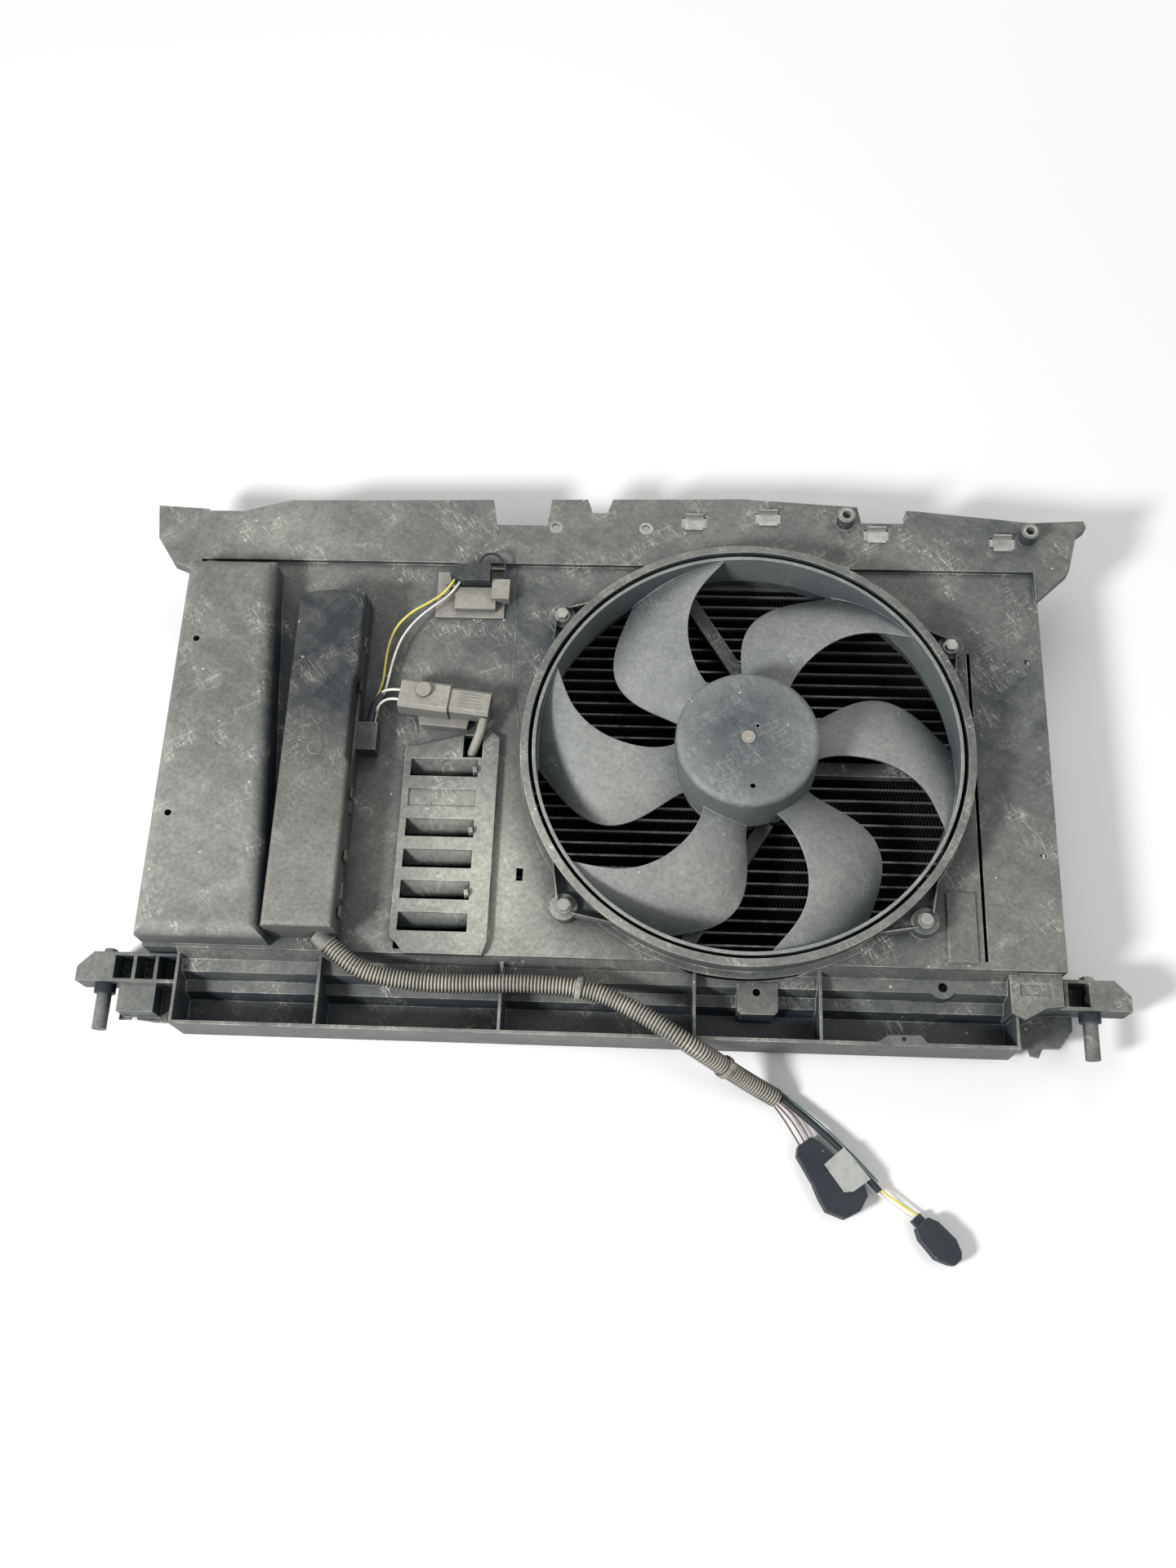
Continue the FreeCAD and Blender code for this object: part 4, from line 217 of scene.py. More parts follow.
def newMaterial(name):
    made = bpy.data.materials.new(name)
    made.use_nodes = True
    tree = Tree(made.node_tree)
    shader = made.node_tree.nodes["Principled BSDF"]
    return made, tree, shader


def vectorOf(tree, x, y, z):
    return tree.add("ShaderNodeCombineXYZ", None, x, y, z)


# A geometry tree with one named input for the geometry that it starts from and one for each size
def sizeTree(name, entry, sizes):
    group = bpy.data.node_groups.new(name, "GeometryNodeTree")
    face = group.interface
    face.new_socket(entry, in_out="INPUT", socket_type="NodeSocketGeometry")
    for label in sizes:
        face.new_socket(label, in_out="INPUT", socket_type="NodeSocketFloat")
    face.new_socket("Mesh", in_out="OUTPUT", socket_type="NodeSocketGeometry")
    tree = Tree(group)
    start = group.nodes.new("NodeGroupInput")
    return tree, {socket.name: Wire(tree, socket) for socket in start.outputs}


def putOut(tree, geometry, material):
    whole = tree.add("GeometryNodeRealizeInstances", None, geometry)
    painted = tree.add("GeometryNodeSetMaterial", None, Geometry=whole, Material=material)
    end = tree.tree.nodes.new("NodeGroupOutput")
    tree.feed(end.inputs["Mesh"], painted)


# The tree's result on a start object becomes a plain mesh with its place in the mesh
def settled(start, tree, sizes, name):
    modifier = start.modifiers.new(name, "NODES")
    modifier.node_group = tree.tree
    for socket in tree.tree.interface.items_tree:
        if socket.name in sizes:
            modifier[socket.identifier] = sizes[socket.name]
    depsgraph = bpy.context.evaluated_depsgraph_get()
    mesh = bpy.data.meshes.new_from_object(start.evaluated_get(depsgraph))
    mesh.name = name
    bpy.data.objects.remove(start)
    plain = bpy.data.objects.new(name, mesh)
    scene.collection.objects.link(plain)
    return plain


def startFrom(name, places=()):
    mesh = bpy.data.meshes.new(name)
    mesh.from_pydata(places, [], [])
    made = bpy.data.objects.new(name, mesh)
    scene.collection.objects.link(made)
    return made


# Lines, wires and what each piece stands for

def routeLine(name, route):
    curve = bpy.data.curves.new(name, "CURVE")
    curve.dimensions = "3D"
    spline = curve.splines.new("NURBS")
    spline.points.add(len(route) - 1)
    for point, place in zip(spline.points, route):
        point.co = (*place, 1)
    spline.order_u = 3
    spline.use_endpoint_u = True
    spline.resolution_u = 24
    made = bpy.data.objects.new(name, curve)
    scene.collection.objects.link(made)
    return made


def linePoints(line):
    depsgraph = bpy.context.evaluated_depsgraph_get()
    mesh = bpy.data.meshes.new_from_object(line.evaluated_get(depsgraph))
    points = [vertex.co.copy() for vertex in mesh.vertices]
    bpy.data.meshes.remove(mesh)
    return points


def pathLength(points):
    return sum((after - before).length for before, after in zip(points, points[1:]))


def wire(name, route, thick, material):
    made = routeLine(name, route)
    made.data.bevel_depth = thick / 2
    made.data.bevel_resolution = 5
    made.data.use_fill_caps = True
    made.data.materials.append(material)
    return made


def lineLength(route):
    bare = routeLine("measure", route)
    length = pathLength(linePoints(bare))
    bpy.data.objects.remove(bare)
    return length


def rideAs(made, body, slotName, *replaced):
    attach(made, body)
    if replaced:
        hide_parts(*replaced)


# Materials

plasticLooks = {
    # base and dust colours, mean film of dust and how much it covers, roughness, grain in m, scratches
    "mouldedPlastic": {
        "base": (0.022, 0.029, 0.036), "dust": (0.52, 0.515, 0.445),
        "film": 0.00, "cover": 0.88, "rough": 0.58, "grain": 0.00013, "scratch": 0.50,
    },
    "fanPlastic": {
        "base": (0.055, 0.068, 0.076), "dust": (0.47, 0.475, 0.43),
        "film": 0.46, "cover": 0.78, "rough": 0.52, "grain": 0.00005, "scratch": 0.28,
    },
    "boxPlastic": {
        "base": (0.022, 0.026, 0.030), "dust": (0.42, 0.41, 0.355),
        "film": -0.38, "cover": 0.78, "rough": 0.58, "grain": 0.00013, "scratch": 0.35,
    },
    "tankPlastic": {
        "base": (0.014, 0.015, 0.017), "dust": (0.20, 0.19, 0.165),
        "film": 0.50, "cover": 0.35, "rough": 0.50, "grain": 0.00010, "scratch": 0.15,
    },
    "connectorPlastic": {
        "base": (0.11, 0.11, 0.105), "dust": (0.55, 0.53, 0.45),
        "film": 0.40, "cover": 0.90, "rough": 0.55, "grain": 0.00008, "scratch": 0.20,
    },
    "blackRubber": {
        "base": (0.010, 0.014, 0.020), "dust": (0.11, 0.115, 0.12),
        "film": 0.00, "cover": 0.30, "rough": 0.65, "grain": 0.00008, "scratch": 0.10,
    },
}

# Where more or less of the pale dust colour is mixed in, making zones paler or darker; on the right plate
# the darkening is painted shadow: place, reach in m, share that it adds
dustAndShadeZones = {
    "mouldedPlastic": (
        ((-0.36, -0.13, 0.10), 0.18, 0.42),
        ((-0.30, 0.235, 0.07), 0.12, 0.25),
        ((-0.05, -0.235, 0.07), 0.30, 0.25),
        ((-0.05, -0.13, 0.07), 0.15, 0.50),
        ((-0.13, -0.10, 0.07), 0.10, 0.50),
        ((-0.09, 0.02, 0.07), 0.08, 0.22),
        # painted shadow: the right plate kept darker
        ((0.38, 0.02, 0.07), 0.17, -0.30),
        ((-0.10, 0.13, 0.07), 0.08, -0.22),
    ),
    "boxPlastic": (
        ((-0.25, -0.17, 0.10), 0.20, 1.05),
    ),
    "fanPlastic": (
        ((0.129, -0.008, 0.12), 0.085, -0.75),
        ((0.02, -0.12, 0.10), 0.16, 0.30),
    ),
}


# What all weathered mouldings share
weatherLook = {
    # noise scales per m
    "cloud": 4.2,
    "patch": 62.0,
    "fine": 260.0,
    "grain": 1300.0,
    "breaks": 30.0,
    # shares of cloud, patch and wipes in the film, and how far it swings
    "shares": (0.40, 0.25, 0.35),
    "swing": 0.95,
    # film values that give no dust and all of it
    "bare": -0.5,
    "full": 1.1,
    # wipes: angle, length and width in m, distortion
    "wipes": ((0.9, 0.16, 0.020, 0.8), (-0.5, 0.12, 0.016, 0.9)),
    # strokes: angle, width in m, how thin
    "strokes": ((0.5, 0.0040, 0.012), (-0.9, 0.0052, 0.012), (1.9, 0.0033, 0.011)),
    # grit: scale per m, share of cells, size, strength
    "grit": ((140.0, 0.03, 0.16, 0.6), (460.0, 0.08, 0.22, 0.25)),
    "recess": 0.05,       # how far off a wall the painted shade of a hollow still reaches, m
    "edge": 0.0013,       # radius of a worn edge, m
    "specular": 0.28,
}


# A noise drawn out along one direction in the panel's plane
def drawnOut(tree, place, angle, along, across, detail, distortion):
    sizes = {"Rotation": (0.0, 0.0, angle), "Scale": (along, across, across * 2.5)}
    turned = tree.add("ShaderNodeMapping", {"vector_type": "TEXTURE"}, Vector=place, **sizes)
    return tree.noise(turned, 1.0, detail, 0.6, distortion)


# Fine strokes that run one way, where the drawn out noise crosses its middle value
def strokes(tree, place, angle, across, thin):
    line = drawnOut(tree, place, angle, across * 15, across, 2.0, 0.4)
    return 1.0 - abs(line - 0.5).between(0.0, thin)


# Specks of grit, one in every few cells
def grit(tree, place, scale, share, size):
    cells = {"Vector": place, "Scale": scale}
    near = tree.add("ShaderNodeTexVoronoi", {"feature": "F1"}, output="Distance", **cells)
    lone = tree.add("ShaderNodeTexVoronoi", {"feature": "F1"}, output="Color", **cells)
    chosen = tree.add("ShaderNodeSeparateColor", None, lone, output="Red") > 1.0 - share
    return (near < size) * chosen


# 1 at the middle of a round zone, falling to 0 at its reach
def zone(tree, place, middle, reach):
    away = tree.add("ShaderNodeVectorMath", {"operation": "DISTANCE"}, place, middle, output="Value")
    return 1.0 - away.between(reach * 0.25, reach)


# Mean film of dust with clouds, patches and wipes, and more or less of it in each zone, the right plate's
# less as painted shadow
def dustFilm(tree, place, patch, look, zones):
    cloud = tree.noise(place, weatherLook["cloud"], 5.0, 0.62, 0.6).between(0.32, 0.68)
    first, second = (
        drawnOut(tree, place, angle, along, across, 5.0, distortion)
        for angle, along, across, distortion in weatherLook["wipes"]
    )
    wiped = (first * 0.5 + second * 0.5).between(0.34, 0.66)
    shares = weatherLook["shares"]
    swing = cloud * shares[0] + patch * shares[1] + wiped * shares[2] - 0.5
    film = swing * weatherLook["swing"] + look["film"]
    for middle, reach, share in zones:
        film = film + zone(tree, place, middle, reach) * share
    return film.between(weatherLook["bare"], weatherLook["full"])


# Dust on open upward faces, painted shade in hollows, strokes, grit and pale worn edges
def weathered(name, look, zones=()):
    material, tree, shader = newMaterial(name)
    place = tree.add("ShaderNodeTexCoord", None, output="Object")
    faces = tree.add("ShaderNodeNewGeometry", None, output="Normal")
    upward = tree.add("ShaderNodeSeparateXYZ", None, faces, output="Z").between(-0.5, 0.75)
    patch = tree.noise(place, weatherLook["patch"], 7.0, 0.72, 0.7).between(0.28, 0.72)
    fine = tree.noise(place, weatherLook["fine"], 4.0, 0.65).between(0.30, 0.70)
    breaks = tree.noise(place, weatherLook["breaks"], 3.0, 0.5)
    grain = tree.noise(place, weatherLook["grain"], 2.0, 0.5)
    recess = weatherLook["recess"]
    # painted shade: less dust where walls hem the surface in, so hollows render darker
    paintedShadeOpenness = tree.add("ShaderNodeAmbientOcclusion", {"samples": 6}, output="AO", Distance=recess)
    film = dustFilm(tree, place, patch, look, zones) * (fine * 0.45 + 0.55)
    # dust on upward faces, held back in hollows as painted shade
    cover = film * upward * paintedShadeOpenness.between(0.25, 0.92) * look["cover"]
    lines = sum(strokes(tree, place, *stroke) for stroke in weatherLook["strokes"])
    lines = lines * breaks.between(0.50, 0.62) * look["scratch"]
    specks = sum(grit(tree, place, *cells) * strength for *cells, strength in weatherLook["grit"])
    softened = tree.add("ShaderNodeBevel", {"samples": 4}, Radius=weatherLook["edge"])
    dot = {"operation": "DOT_PRODUCT"}
    meeting = tree.add("ShaderNodeVectorMath", dot, softened, faces, output="Value")
    worn = (1.0 - meeting).between(0.01, 0.16) * breaks.between(0.35, 0.60) * 0.8
    pale = tuple(min(1, 1.25 * part) for part in look["dust"])
    dustAndShade = tree.mix(cover, look["base"], look["dust"])
    marked = tree.mix((lines + specks) * upward + worn, dustAndShade, pale)
    height = grain * 0.5 + patch * 0.6 + fine * 0.3 - lines * 0.4
    tree.feed(shader.inputs["Base Color"], marked)
    tree.feed(shader.inputs["Roughness"], look["rough"] - 0.10 + cover * 0.45)
    tree.feed(shader.inputs["Normal"], tree.bump(height, 0.45, look["grain"], softened))
    shader.inputs["Specular IOR Level"].default_value = weatherLook["specular"]
    return material


metalLooks = {
    # base and stain colours, how much the stain covers, roughness, metallic
    "coreAluminium": {
        "base": (0.20, 0.20, 0.20), "stain": (0.055, 0.053, 0.050),
        "cover": 0.75, "rough": 0.45, "metal": 0.8,
    },
    "sheetSteel": {
        "base": (0.33, 0.325, 0.305), "stain": (0.16, 0.145, 0.12),
        "cover": 0.6, "rough": 0.46, "metal": 0.7,
    },
    "shaftSteel": {
        "base": (0.38, 0.37, 0.34), "stain": (0.20, 0.17, 0.13),
        "cover": 0.5, "rough": 0.42, "metal": 0.8,
    },
    "ironCore": {
        "base": (0.20, 0.20, 0.21), "stain": (0.10, 0.07, 0.05),
        "cover": 0.3, "rough": 0.5, "metal": 0.8,
    },
    "copper": {
        "base": (0.70, 0.35, 0.18), "stain": (0.30, 0.14, 0.08),
        "cover": 0.3, "rough": 0.35, "metal": 1.0,
    },
    "magnet": {
        "base": (0.060, 0.060, 0.065), "stain": (0.11, 0.11, 0.11),
        "cover": 0.3, "rough": 0.6, "metal": 0.2,
    },
    "finAluminium": {
        "base": (0.075, 0.076, 0.078), "stain": (0.020, 0.020, 0.020),
        "cover": 0.6, "rough": 0.5, "metal": 0.7,
    },
}


def stained(name, look):
    material, tree, shader = newMaterial(name)
    place = tree.add("ShaderNodeTexCoord", None, output="Object")
    cloud = tree.noise(place, 22.0, 5.0, 0.6)
    spots = tree.noise(place, 140.0, 4.0, 0.6)
    stain = (cloud * 0.5 + spots * 0.5).between(0.40, 0.62) * look["cover"]
    brushed = tree.noise(place, 420.0, 2.0, 0.5)
    tree.feed(shader.inputs["Base Color"], tree.mix(stain, look["base"], look["stain"]))
    tree.feed(shader.inputs["Roughness"], look["rough"] + stain * 0.4)
    tree.feed(shader.inputs["Metallic"], look["metal"] * (1.0 - stain * 0.6))
    tree.feed(shader.inputs["Normal"], tree.bump(brushed, 0.25, 0.00004))
    return material


wireLooks = {
    "wireGreen": {"base": (0.040, 0.130, 0.075), "dirt": (0.10, 0.11, 0.09)},
    "wireBrown": {"base": (0.095, 0.050, 0.040), "dirt": (0.16, 0.12, 0.10)},
    "wireWhite": {"base": (0.80, 0.79, 0.72), "dirt": (0.42, 0.40, 0.34)},
    "wireYellow": {"base": (0.80, 0.70, 0.13), "dirt": (0.45, 0.38, 0.16)},
    "board": {"base": (0.03, 0.12, 0.06), "dirt": (0.10, 0.11, 0.09)},
    "label": {"base": (0.36, 0.37, 0.35), "dirt": (0.20, 0.19, 0.17)},
}


def handled(name, look):
    material, tree, shader = newMaterial(name)
    place = tree.add("ShaderNodeTexCoord", None, output="Object")
    grime = tree.noise(place, 90.0, 5.0, 0.65).between(0.44, 0.66)
    fine = tree.noise(place, 700.0, 2.0, 0.5)
    tree.feed(shader.inputs["Base Color"], tree.mix(grime * 0.6, look["base"], look["dirt"]))
    tree.feed(shader.inputs["Roughness"], 0.38 + grime * 0.3)
    tree.feed(shader.inputs["Normal"], tree.bump(fine, 0.2, 0.00005))
    return material


# bare black for the grooves' painted shade, pale for dust and the ribs' painted highlight
conduitDustAndHighlight = {"bare": (0.016, 0.017, 0.018), "dust": (0.52, 0.49, 0.40)}


# Conduit: ribs pale as dust and painted highlight, grooves black as painted shade
def conduitMaterial(colours):
    material, tree, shader = newMaterial("conduitPlastic")
    place = tree.add("ShaderNodeTexCoord", None, output="Object")
    groove = tree.add("ShaderNodeAttribute", {"attribute_name": "groove"}, output="Fac")
    faces = tree.add("ShaderNodeNewGeometry", None, output="Normal")
    upward = tree.add("ShaderNodeSeparateXYZ", None, faces, output="Z").between(0.0, 0.9)
    cloud = tree.noise(place, 45.0, 4.0, 0.6).between(0.35, 0.65)
    # paler ribs: dust on their tops and a painted highlight; the grooves keep the black base as painted
    # shade
    dust = (1.0 - groove) * upward * (cloud * 0.4 + 0.6) * 0.95
    tree.feed(shader.inputs["Base Color"], tree.mix(dust, colours["bare"], colours["dust"]))
    tree.feed(shader.inputs["Roughness"], 0.36 + dust * 0.35)
    return material


surfaces = {
    "conduitPlastic": conduitMaterial(conduitDustAndHighlight),
}
for name, look in plasticLooks.items():
    surfaces[name] = weathered(name, look, dustAndShadeZones.get(name, ()))
for name, look in metalLooks.items():
    surfaces[name] = stained(name, look)
for name, look in wireLooks.items():
    surfaces[name] = handled(name, look)
print("materials made,", len(surfaces))

slotSurfaces = {
    "moulded_plastic": "mouldedPlastic",
    "fan_plastic": "fanPlastic",
    "box_plastic": "boxPlastic",
    "tank_plastic": "tankPlastic",
    "connector_plastic": "connectorPlastic",
    "core_aluminium": "coreAluminium",
    "sheet_steel": "sheetSteel",
    "shaft_steel": "shaftSteel",
    "iron_core": "ironCore",
    "copper": "copper",
    "magnet": "magnet",
    "black_rubber": "blackRubber",
    "wire_green": "wireGreen",
    "wire_brown": "wireBrown",
    "wire_white": "wireWhite",
    "wire_yellow": "wireYellow",
    "board": "board",
    "label": "label",
}
for part in frame["record"]["subparts"]:
    slots = nodes[part["node"]].material_slots
    for slot in slots:
        slot.material = surfaces[slotSurfaces[part["material_slot"]]]


# Ribbed conduit

conduitLook = {
    "sizes": {
        "Thick": 0.017,
        "Pitch": 0.0031,      # rib to rib
        "Groove": 0.80,       # bottom of a groove, as a share of the ribs
        "Split": 0.90,        # the slit along it, as a share of the radius
    },
    "sides": 32,
}
conduitRoute = (
    (-0.2330, -0.1960, 0.0815),
    (-0.2160, -0.2115, 0.0799),
    (-0.1880, -0.2225, 0.0750),
    (-0.1360, -0.2260, 0.0702),
    (-0.0620, -0.2225, 0.0696),
    (-0.0020, -0.2260, 0.0698),
    (0.0420, -0.2470, 0.0710),
    (0.0820, -0.2715, 0.0714),
    (0.1120, -0.2845, 0.0460),
    (0.1370, -0.2950, 0.0235),
    (0.1600, -0.3045, 0.0102),
)


# Ribs swept along a bare line: of every four rings two are high and two are low
def makeConduit(look, route, material):
    line = routeLine("conduitLine", route)
    path = linePoints(line)
    tree, given = sizeTree("conduitRibs", "Line", look["sizes"])
    step = given["Pitch"] * 0.25
    fine = tree.add("GeometryNodeResampleCurve", {"mode": "LENGTH"}, Curve=given["Line"], Length=step)
    index = tree.add("GeometryNodeInputIndex")
    low = (index % 4.0) > 1.5
    radius = given["Thick"] * 0.5 * (1.0 - low * (1.0 - given["Groove"]))
    # the grooves are marked so that the material paints them black as shade and the ribs pale as highlight
    marked = tree.add(
        "GeometryNodeStoreNamedAttribute",
        {"data_type": "FLOAT", "domain": "POINT"},
        Geometry=fine, Name="groove", Value=low,
    )
    ring = {"Resolution": look["sides"], "Radius": 1.0}
    circle = tree.add("GeometryNodeCurvePrimitiveCircle", {"mode": "RADIUS"}, **ring)
    inward = vectorOf(tree, (index < 0.5) * (given["Split"] - 1.0), 0.0, 0.0)
    slitted = tree.add("GeometryNodeSetPosition", None, Geometry=circle, Offset=inward)
    sweep = {"Curve": marked, "Profile Curve": slitted, "Scale": radius, "Fill Caps": True}
    swept = tree.add("GeometryNodeCurveToMesh", None, **sweep)
    soft = tree.add("GeometryNodeSetShadeSmooth", None, Geometry=swept, **{"Shade Smooth": True})
    putOut(tree, soft, material)
    return settled(line, tree, look["sizes"], "conduit"), path


conduit, conduitPath = makeConduit(conduitLook, conduitRoute, surfaces["conduitPlastic"])
rideAs(conduit, "frame", "tank_plastic", "harness_conduit")
print("conduit made")


# Loose wires, each on its route's own smooth line

looseLeads = {
    # node replaced, record slot, surface, diameter, what its far end is, route
    "plugWire1": {
        "node": "plug_wire_1", "slot": "wire_brown", "surface": "wireBrown",
        "thick": 0.0016, "end": "object",
        "route": (
            (0.15965, -0.3053, 0.0102), (0.1735, -0.3155, 0.0085),
            (0.1830, -0.3270, 0.0080), (0.1889, -0.3381, 0.0080),
        ),
    },
    "plugWire2": {
        "node": "plug_wire_2", "slot": "wire_brown", "surface": "wireBrown",
        "thick": 0.0016, "end": "object",
        "route": (
            (0.15863, -0.3077, 0.0102), (0.1700, -0.31825, 0.0085),
            (0.1785, -0.3300, 0.0080), (0.18485, -0.34125, 0.0080),
        ),
    },
    "plugWire3": {
        "node": "plug_wire_3", "slot": "wire_brown", "surface": "wireBrown",
        "thick": 0.0016, "end": "object",
        "route": (
            (0.1576, -0.3101, 0.0102), (0.1665, -0.3210, 0.0085),
            (0.1740, -0.3330, 0.0080), (0.1808, -0.3444, 0.0080),
        ),
    },
    "tailSleeve": {
        "node": "tail_sleeve", "slot": "black_rubber", "surface": "blackRubber",
        "thick": 0.006, "end": "bare",
        "stiffness": "medium", "hung": ("module_plug", "plug_label"),
        "route": (
            (0.1613, -0.3015, 0.0102), (0.1860, -0.3200, 0.0095), (0.2080, -0.3395, 0.0115),
            (0.2290, -0.3605, 0.0126), (0.2480, -0.3805, 0.0090),
        ),
    },
    "tailGreen": {
        "node": "tail_wire_green", "slot": "wire_green", "surface": "wireGreen",
        "thick": 0.0016, "end": "object",
        "route": (
            (0.1628, -0.2979, 0.0102), (0.1889, -0.3170, 0.0100), (0.2109, -0.3364, 0.0119),
            (0.2319, -0.3574, 0.0130), (0.2468, -0.3730, 0.0105),
        ),
    },
    "tailWhite": {
        "node": "tail_wire_white", "slot": "wire_white", "surface": "wireWhite",
        "thick": 0.0022, "end": "plug",
        "hung": ("end_plug",),
        "route": ((0.2470, -0.3816, 0.0090), (0.2600, -0.3930, 0.0065), (0.2764, -0.4026, 0.0060)),
    },
    "tailYellow": {
        "node": "tail_wire_yellow", "slot": "wire_yellow", "surface": "wireYellow",
        "thick": 0.0022, "end": "object",
        "route": ((0.2491, -0.3795, 0.0090), (0.2640, -0.3895, 0.0070), (0.2800, -0.3994, 0.0060)),
    },
}


def makeLooseLead(name, look):
    route = look["route"]
    lead = wire(name, route, look["thick"], surfaces[look["surface"]])
    rideAs(lead, "frame", look["slot"], look["node"])
    lineLength(route)


for name, look in looseLeads.items():
    makeLooseLead(name, look)
print("loose wires made,", len(looseLeads))


# Leads held at both ends

heldLeads = {
    # node replaced, record slot, and its wires: name, route, diameter, surface
    "resistor_leads": ("wire_white", (
        ("resistorYellow", (
            (-0.1486, 0.1663, 0.0820), (-0.1553, 0.1529, 0.0825), (-0.1700, 0.1410, 0.0830),
            (-0.1860, 0.1310, 0.0830), (-0.1998, 0.1161, 0.0820), (-0.2061, 0.0980, 0.0810),
            (-0.2079, 0.0780, 0.0800), (-0.2085, 0.0580, 0.0785), (-0.2135, 0.0420, 0.0770),
            (-0.2175, 0.0270, 0.0755), (-0.2175, 0.0130, 0.0750),
        ), 0.0022, "wireYellow"),
        ("resistorWhite", (
            (-0.1434, 0.1637, 0.0820), (-0.1502, 0.1502, 0.0825), (-0.1675, 0.1360, 0.0830),
            (-0.1820, 0.1220, 0.0830), (-0.1935, 0.1050, 0.0820), (-0.1993, 0.0870, 0.0810),
            (-0.2025, 0.0690, 0.0800), (-0.2050, 0.0520, 0.0785), (-0.2095, 0.0370, 0.0770),
            (-0.2135, 0.0250, 0.0755), (-0.2135, 0.0130, 0.0750),
        ), 0.0022, "wireWhite"),
    )),
    "connector_leads": ("wire_white", (
        ("connectorUpper", (
            (-0.1879, 0.0460, 0.0880), (-0.1980, 0.0472, 0.0880), (-0.2075, 0.0440, 0.0870),
            (-0.2140, 0.0350, 0.0855), (-0.2175, 0.0240, 0.0838), (-0.2175, 0.0130, 0.0832),
        ), 0.0024, "wireWhite"),
        ("connectorLower", (
            (-0.1890, 0.0365, 0.0880), (-0.1980, 0.0376, 0.0880), (-0.2060, 0.0345, 0.0870),
            (-0.2115, 0.0270, 0.0855), (-0.2135, 0.0200, 0.0840), (-0.2135, 0.0130, 0.0832),
        ), 0.0024, "wireWhite"),
        ("connectorSleeve", (
            (-0.2055, 0.0415, 0.0870), (-0.2115, 0.0340, 0.0858),
            (-0.2150, 0.0240, 0.0842), (-0.2155, 0.0130, 0.0833),
        ), 0.0072, "blackRubber"),
    )),
    "resistor_loop": ("black_rubber", (
        ("resistorLoop", (
            (-0.1250, 0.1800, 0.0860), (-0.1240, 0.1875, 0.0870), (-0.1170, 0.1925, 0.0875),
            (-0.1080, 0.1915, 0.0870), (-0.1015, 0.1850, 0.0840), (-0.0995, 0.1760, 0.0800),
            (-0.0995, 0.1670, 0.0785),
        ), 0.0024, "blackRubber"),
    )),
    "lead_sleeve": ("connector_plastic", (
        ("leadSleeve", (
            (-0.1105, 0.0193, 0.0860), (-0.1123, 0.0095, 0.0845),
            (-0.1170, -0.0008, 0.0780), (-0.1220, -0.0095, 0.0685),
        ), 0.0090, "connectorPlastic"),
    )),
}
for node, (slotName, wires) in heldLeads.items():
    for name, route, thick, surface in wires:
        lead = wire(name, route, thick, surfaces[surface])
        rideAs(lead, "frame", slotName, node)
print("held leads made")


# Small moulded clips and hooks

clipLooks = {
    # name: record slot, surface, size in x, y and z, then place and turn in degrees of each
    "boxClips": ("box_plastic", "boxPlastic", (0.0030, 0.0120, 0.0085), (
        (-0.2252, 0.0900, 0.0930, 0), (-0.2252, 0.0450, 0.0930, 0), (-0.2240, -0.0600, 0.0930, 0),
        (-0.2235, -0.1190, 0.0930, 0), (-0.2235, -0.1700, 0.0930, 0),
    )),
    "slotHooks": ("moulded_plastic", "mouldedPlastic", (0.0050, 0.0070, 0.0060), (
        (-0.1165, -0.0280, 0.0765, 12), (-0.1165, -0.0864, 0.0765, 12), (-0.1165, -0.1448, 0.0765, 12),
    )),
    "plugRibs": ("connector_plastic", "connectorPlastic", (0.0250, 0.0012, 0.0010), (
        (-0.1240, 0.0285, 0.0952, -6.8), (-0.1240, 0.0318, 0.0952, -6.8), (-0.1240, 0.0351, 0.0952, -6.8),
        (-0.1240, 0.0384, 0.0952, -6.8), (-0.1240, 0.0417, 0.0952, -6.8),
    )),
    "panelLines": ("moulded_plastic", "mouldedPlastic", (0.0011, 0.0520, 0.0006), (
        (-0.0880, 0.1500, 0.0702, 0), (-0.0880, 0.0940, 0.0702, 0), (-0.0830, 0.0400, 0.0702, 9),
    )),
}
clipTaper = 0.30   # how much narrower a clip is at its top


def makeClips(name, size, places, material):
    start = startFrom(name + "Places", [place[:3] for place in places])
    turns = start.data.attributes.new("turn", "FLOAT", "POINT")
    for item, place in zip(turns.data, places):
        item.value = math.radians(place[3])
    sizes = dict(zip(("Wide", "Deep", "High"), size))
    tree, given = sizeTree(name, "Places", sizes)
    outer = vectorOf(tree, given["Wide"], given["Deep"], given["High"])
    block = tree.add("GeometryNodeMeshCube", None, outer, 3, 3, 3)
    place = tree.add("GeometryNodeInputPosition")
    high = tree.add("ShaderNodeSeparateXYZ", None, place, output="Z") / given["High"]
    narrowing = 1.0 - (high + 0.5) * clipTaper
    scaled = vectorOf(tree, narrowing, narrowing, 1.0)
    moved = tree.add("ShaderNodeVectorMath", {"operation": "MULTIPLY"}, place, scaled)
    tapered = tree.add("GeometryNodeSetPosition", None, Geometry=block, Position=moved)
    turn = tree.add("GeometryNodeInputNamedAttribute", {"data_type": "FLOAT"}, "turn")
    spots = {"Points": given["Places"], "Instance": tapered, "Rotation": vectorOf(tree, 0.0, 0.0, turn)}
    copies = tree.add("GeometryNodeInstanceOnPoints", None, **spots)
    putOut(tree, copies, material)
    return settled(start, tree, sizes, name)


for name, (slotName, surface, size, places) in clipLooks.items():
    rideAs(makeClips(name, size, places, surfaces[surface]), "frame", slotName)
print("clips made,", len(clipLooks), "kinds")


# Faint rings on the fan's hub, left by the mould's pins

hubLook = {
    "centre": (0.1290, -0.0080),
    "top": 0.12205,
    "marks": 6,
    "sizes": {
        "Out": 0.0410,        # from the axis to a mark
        "Ring": 0.0042,
        "Line": 0.00022,
    },
}


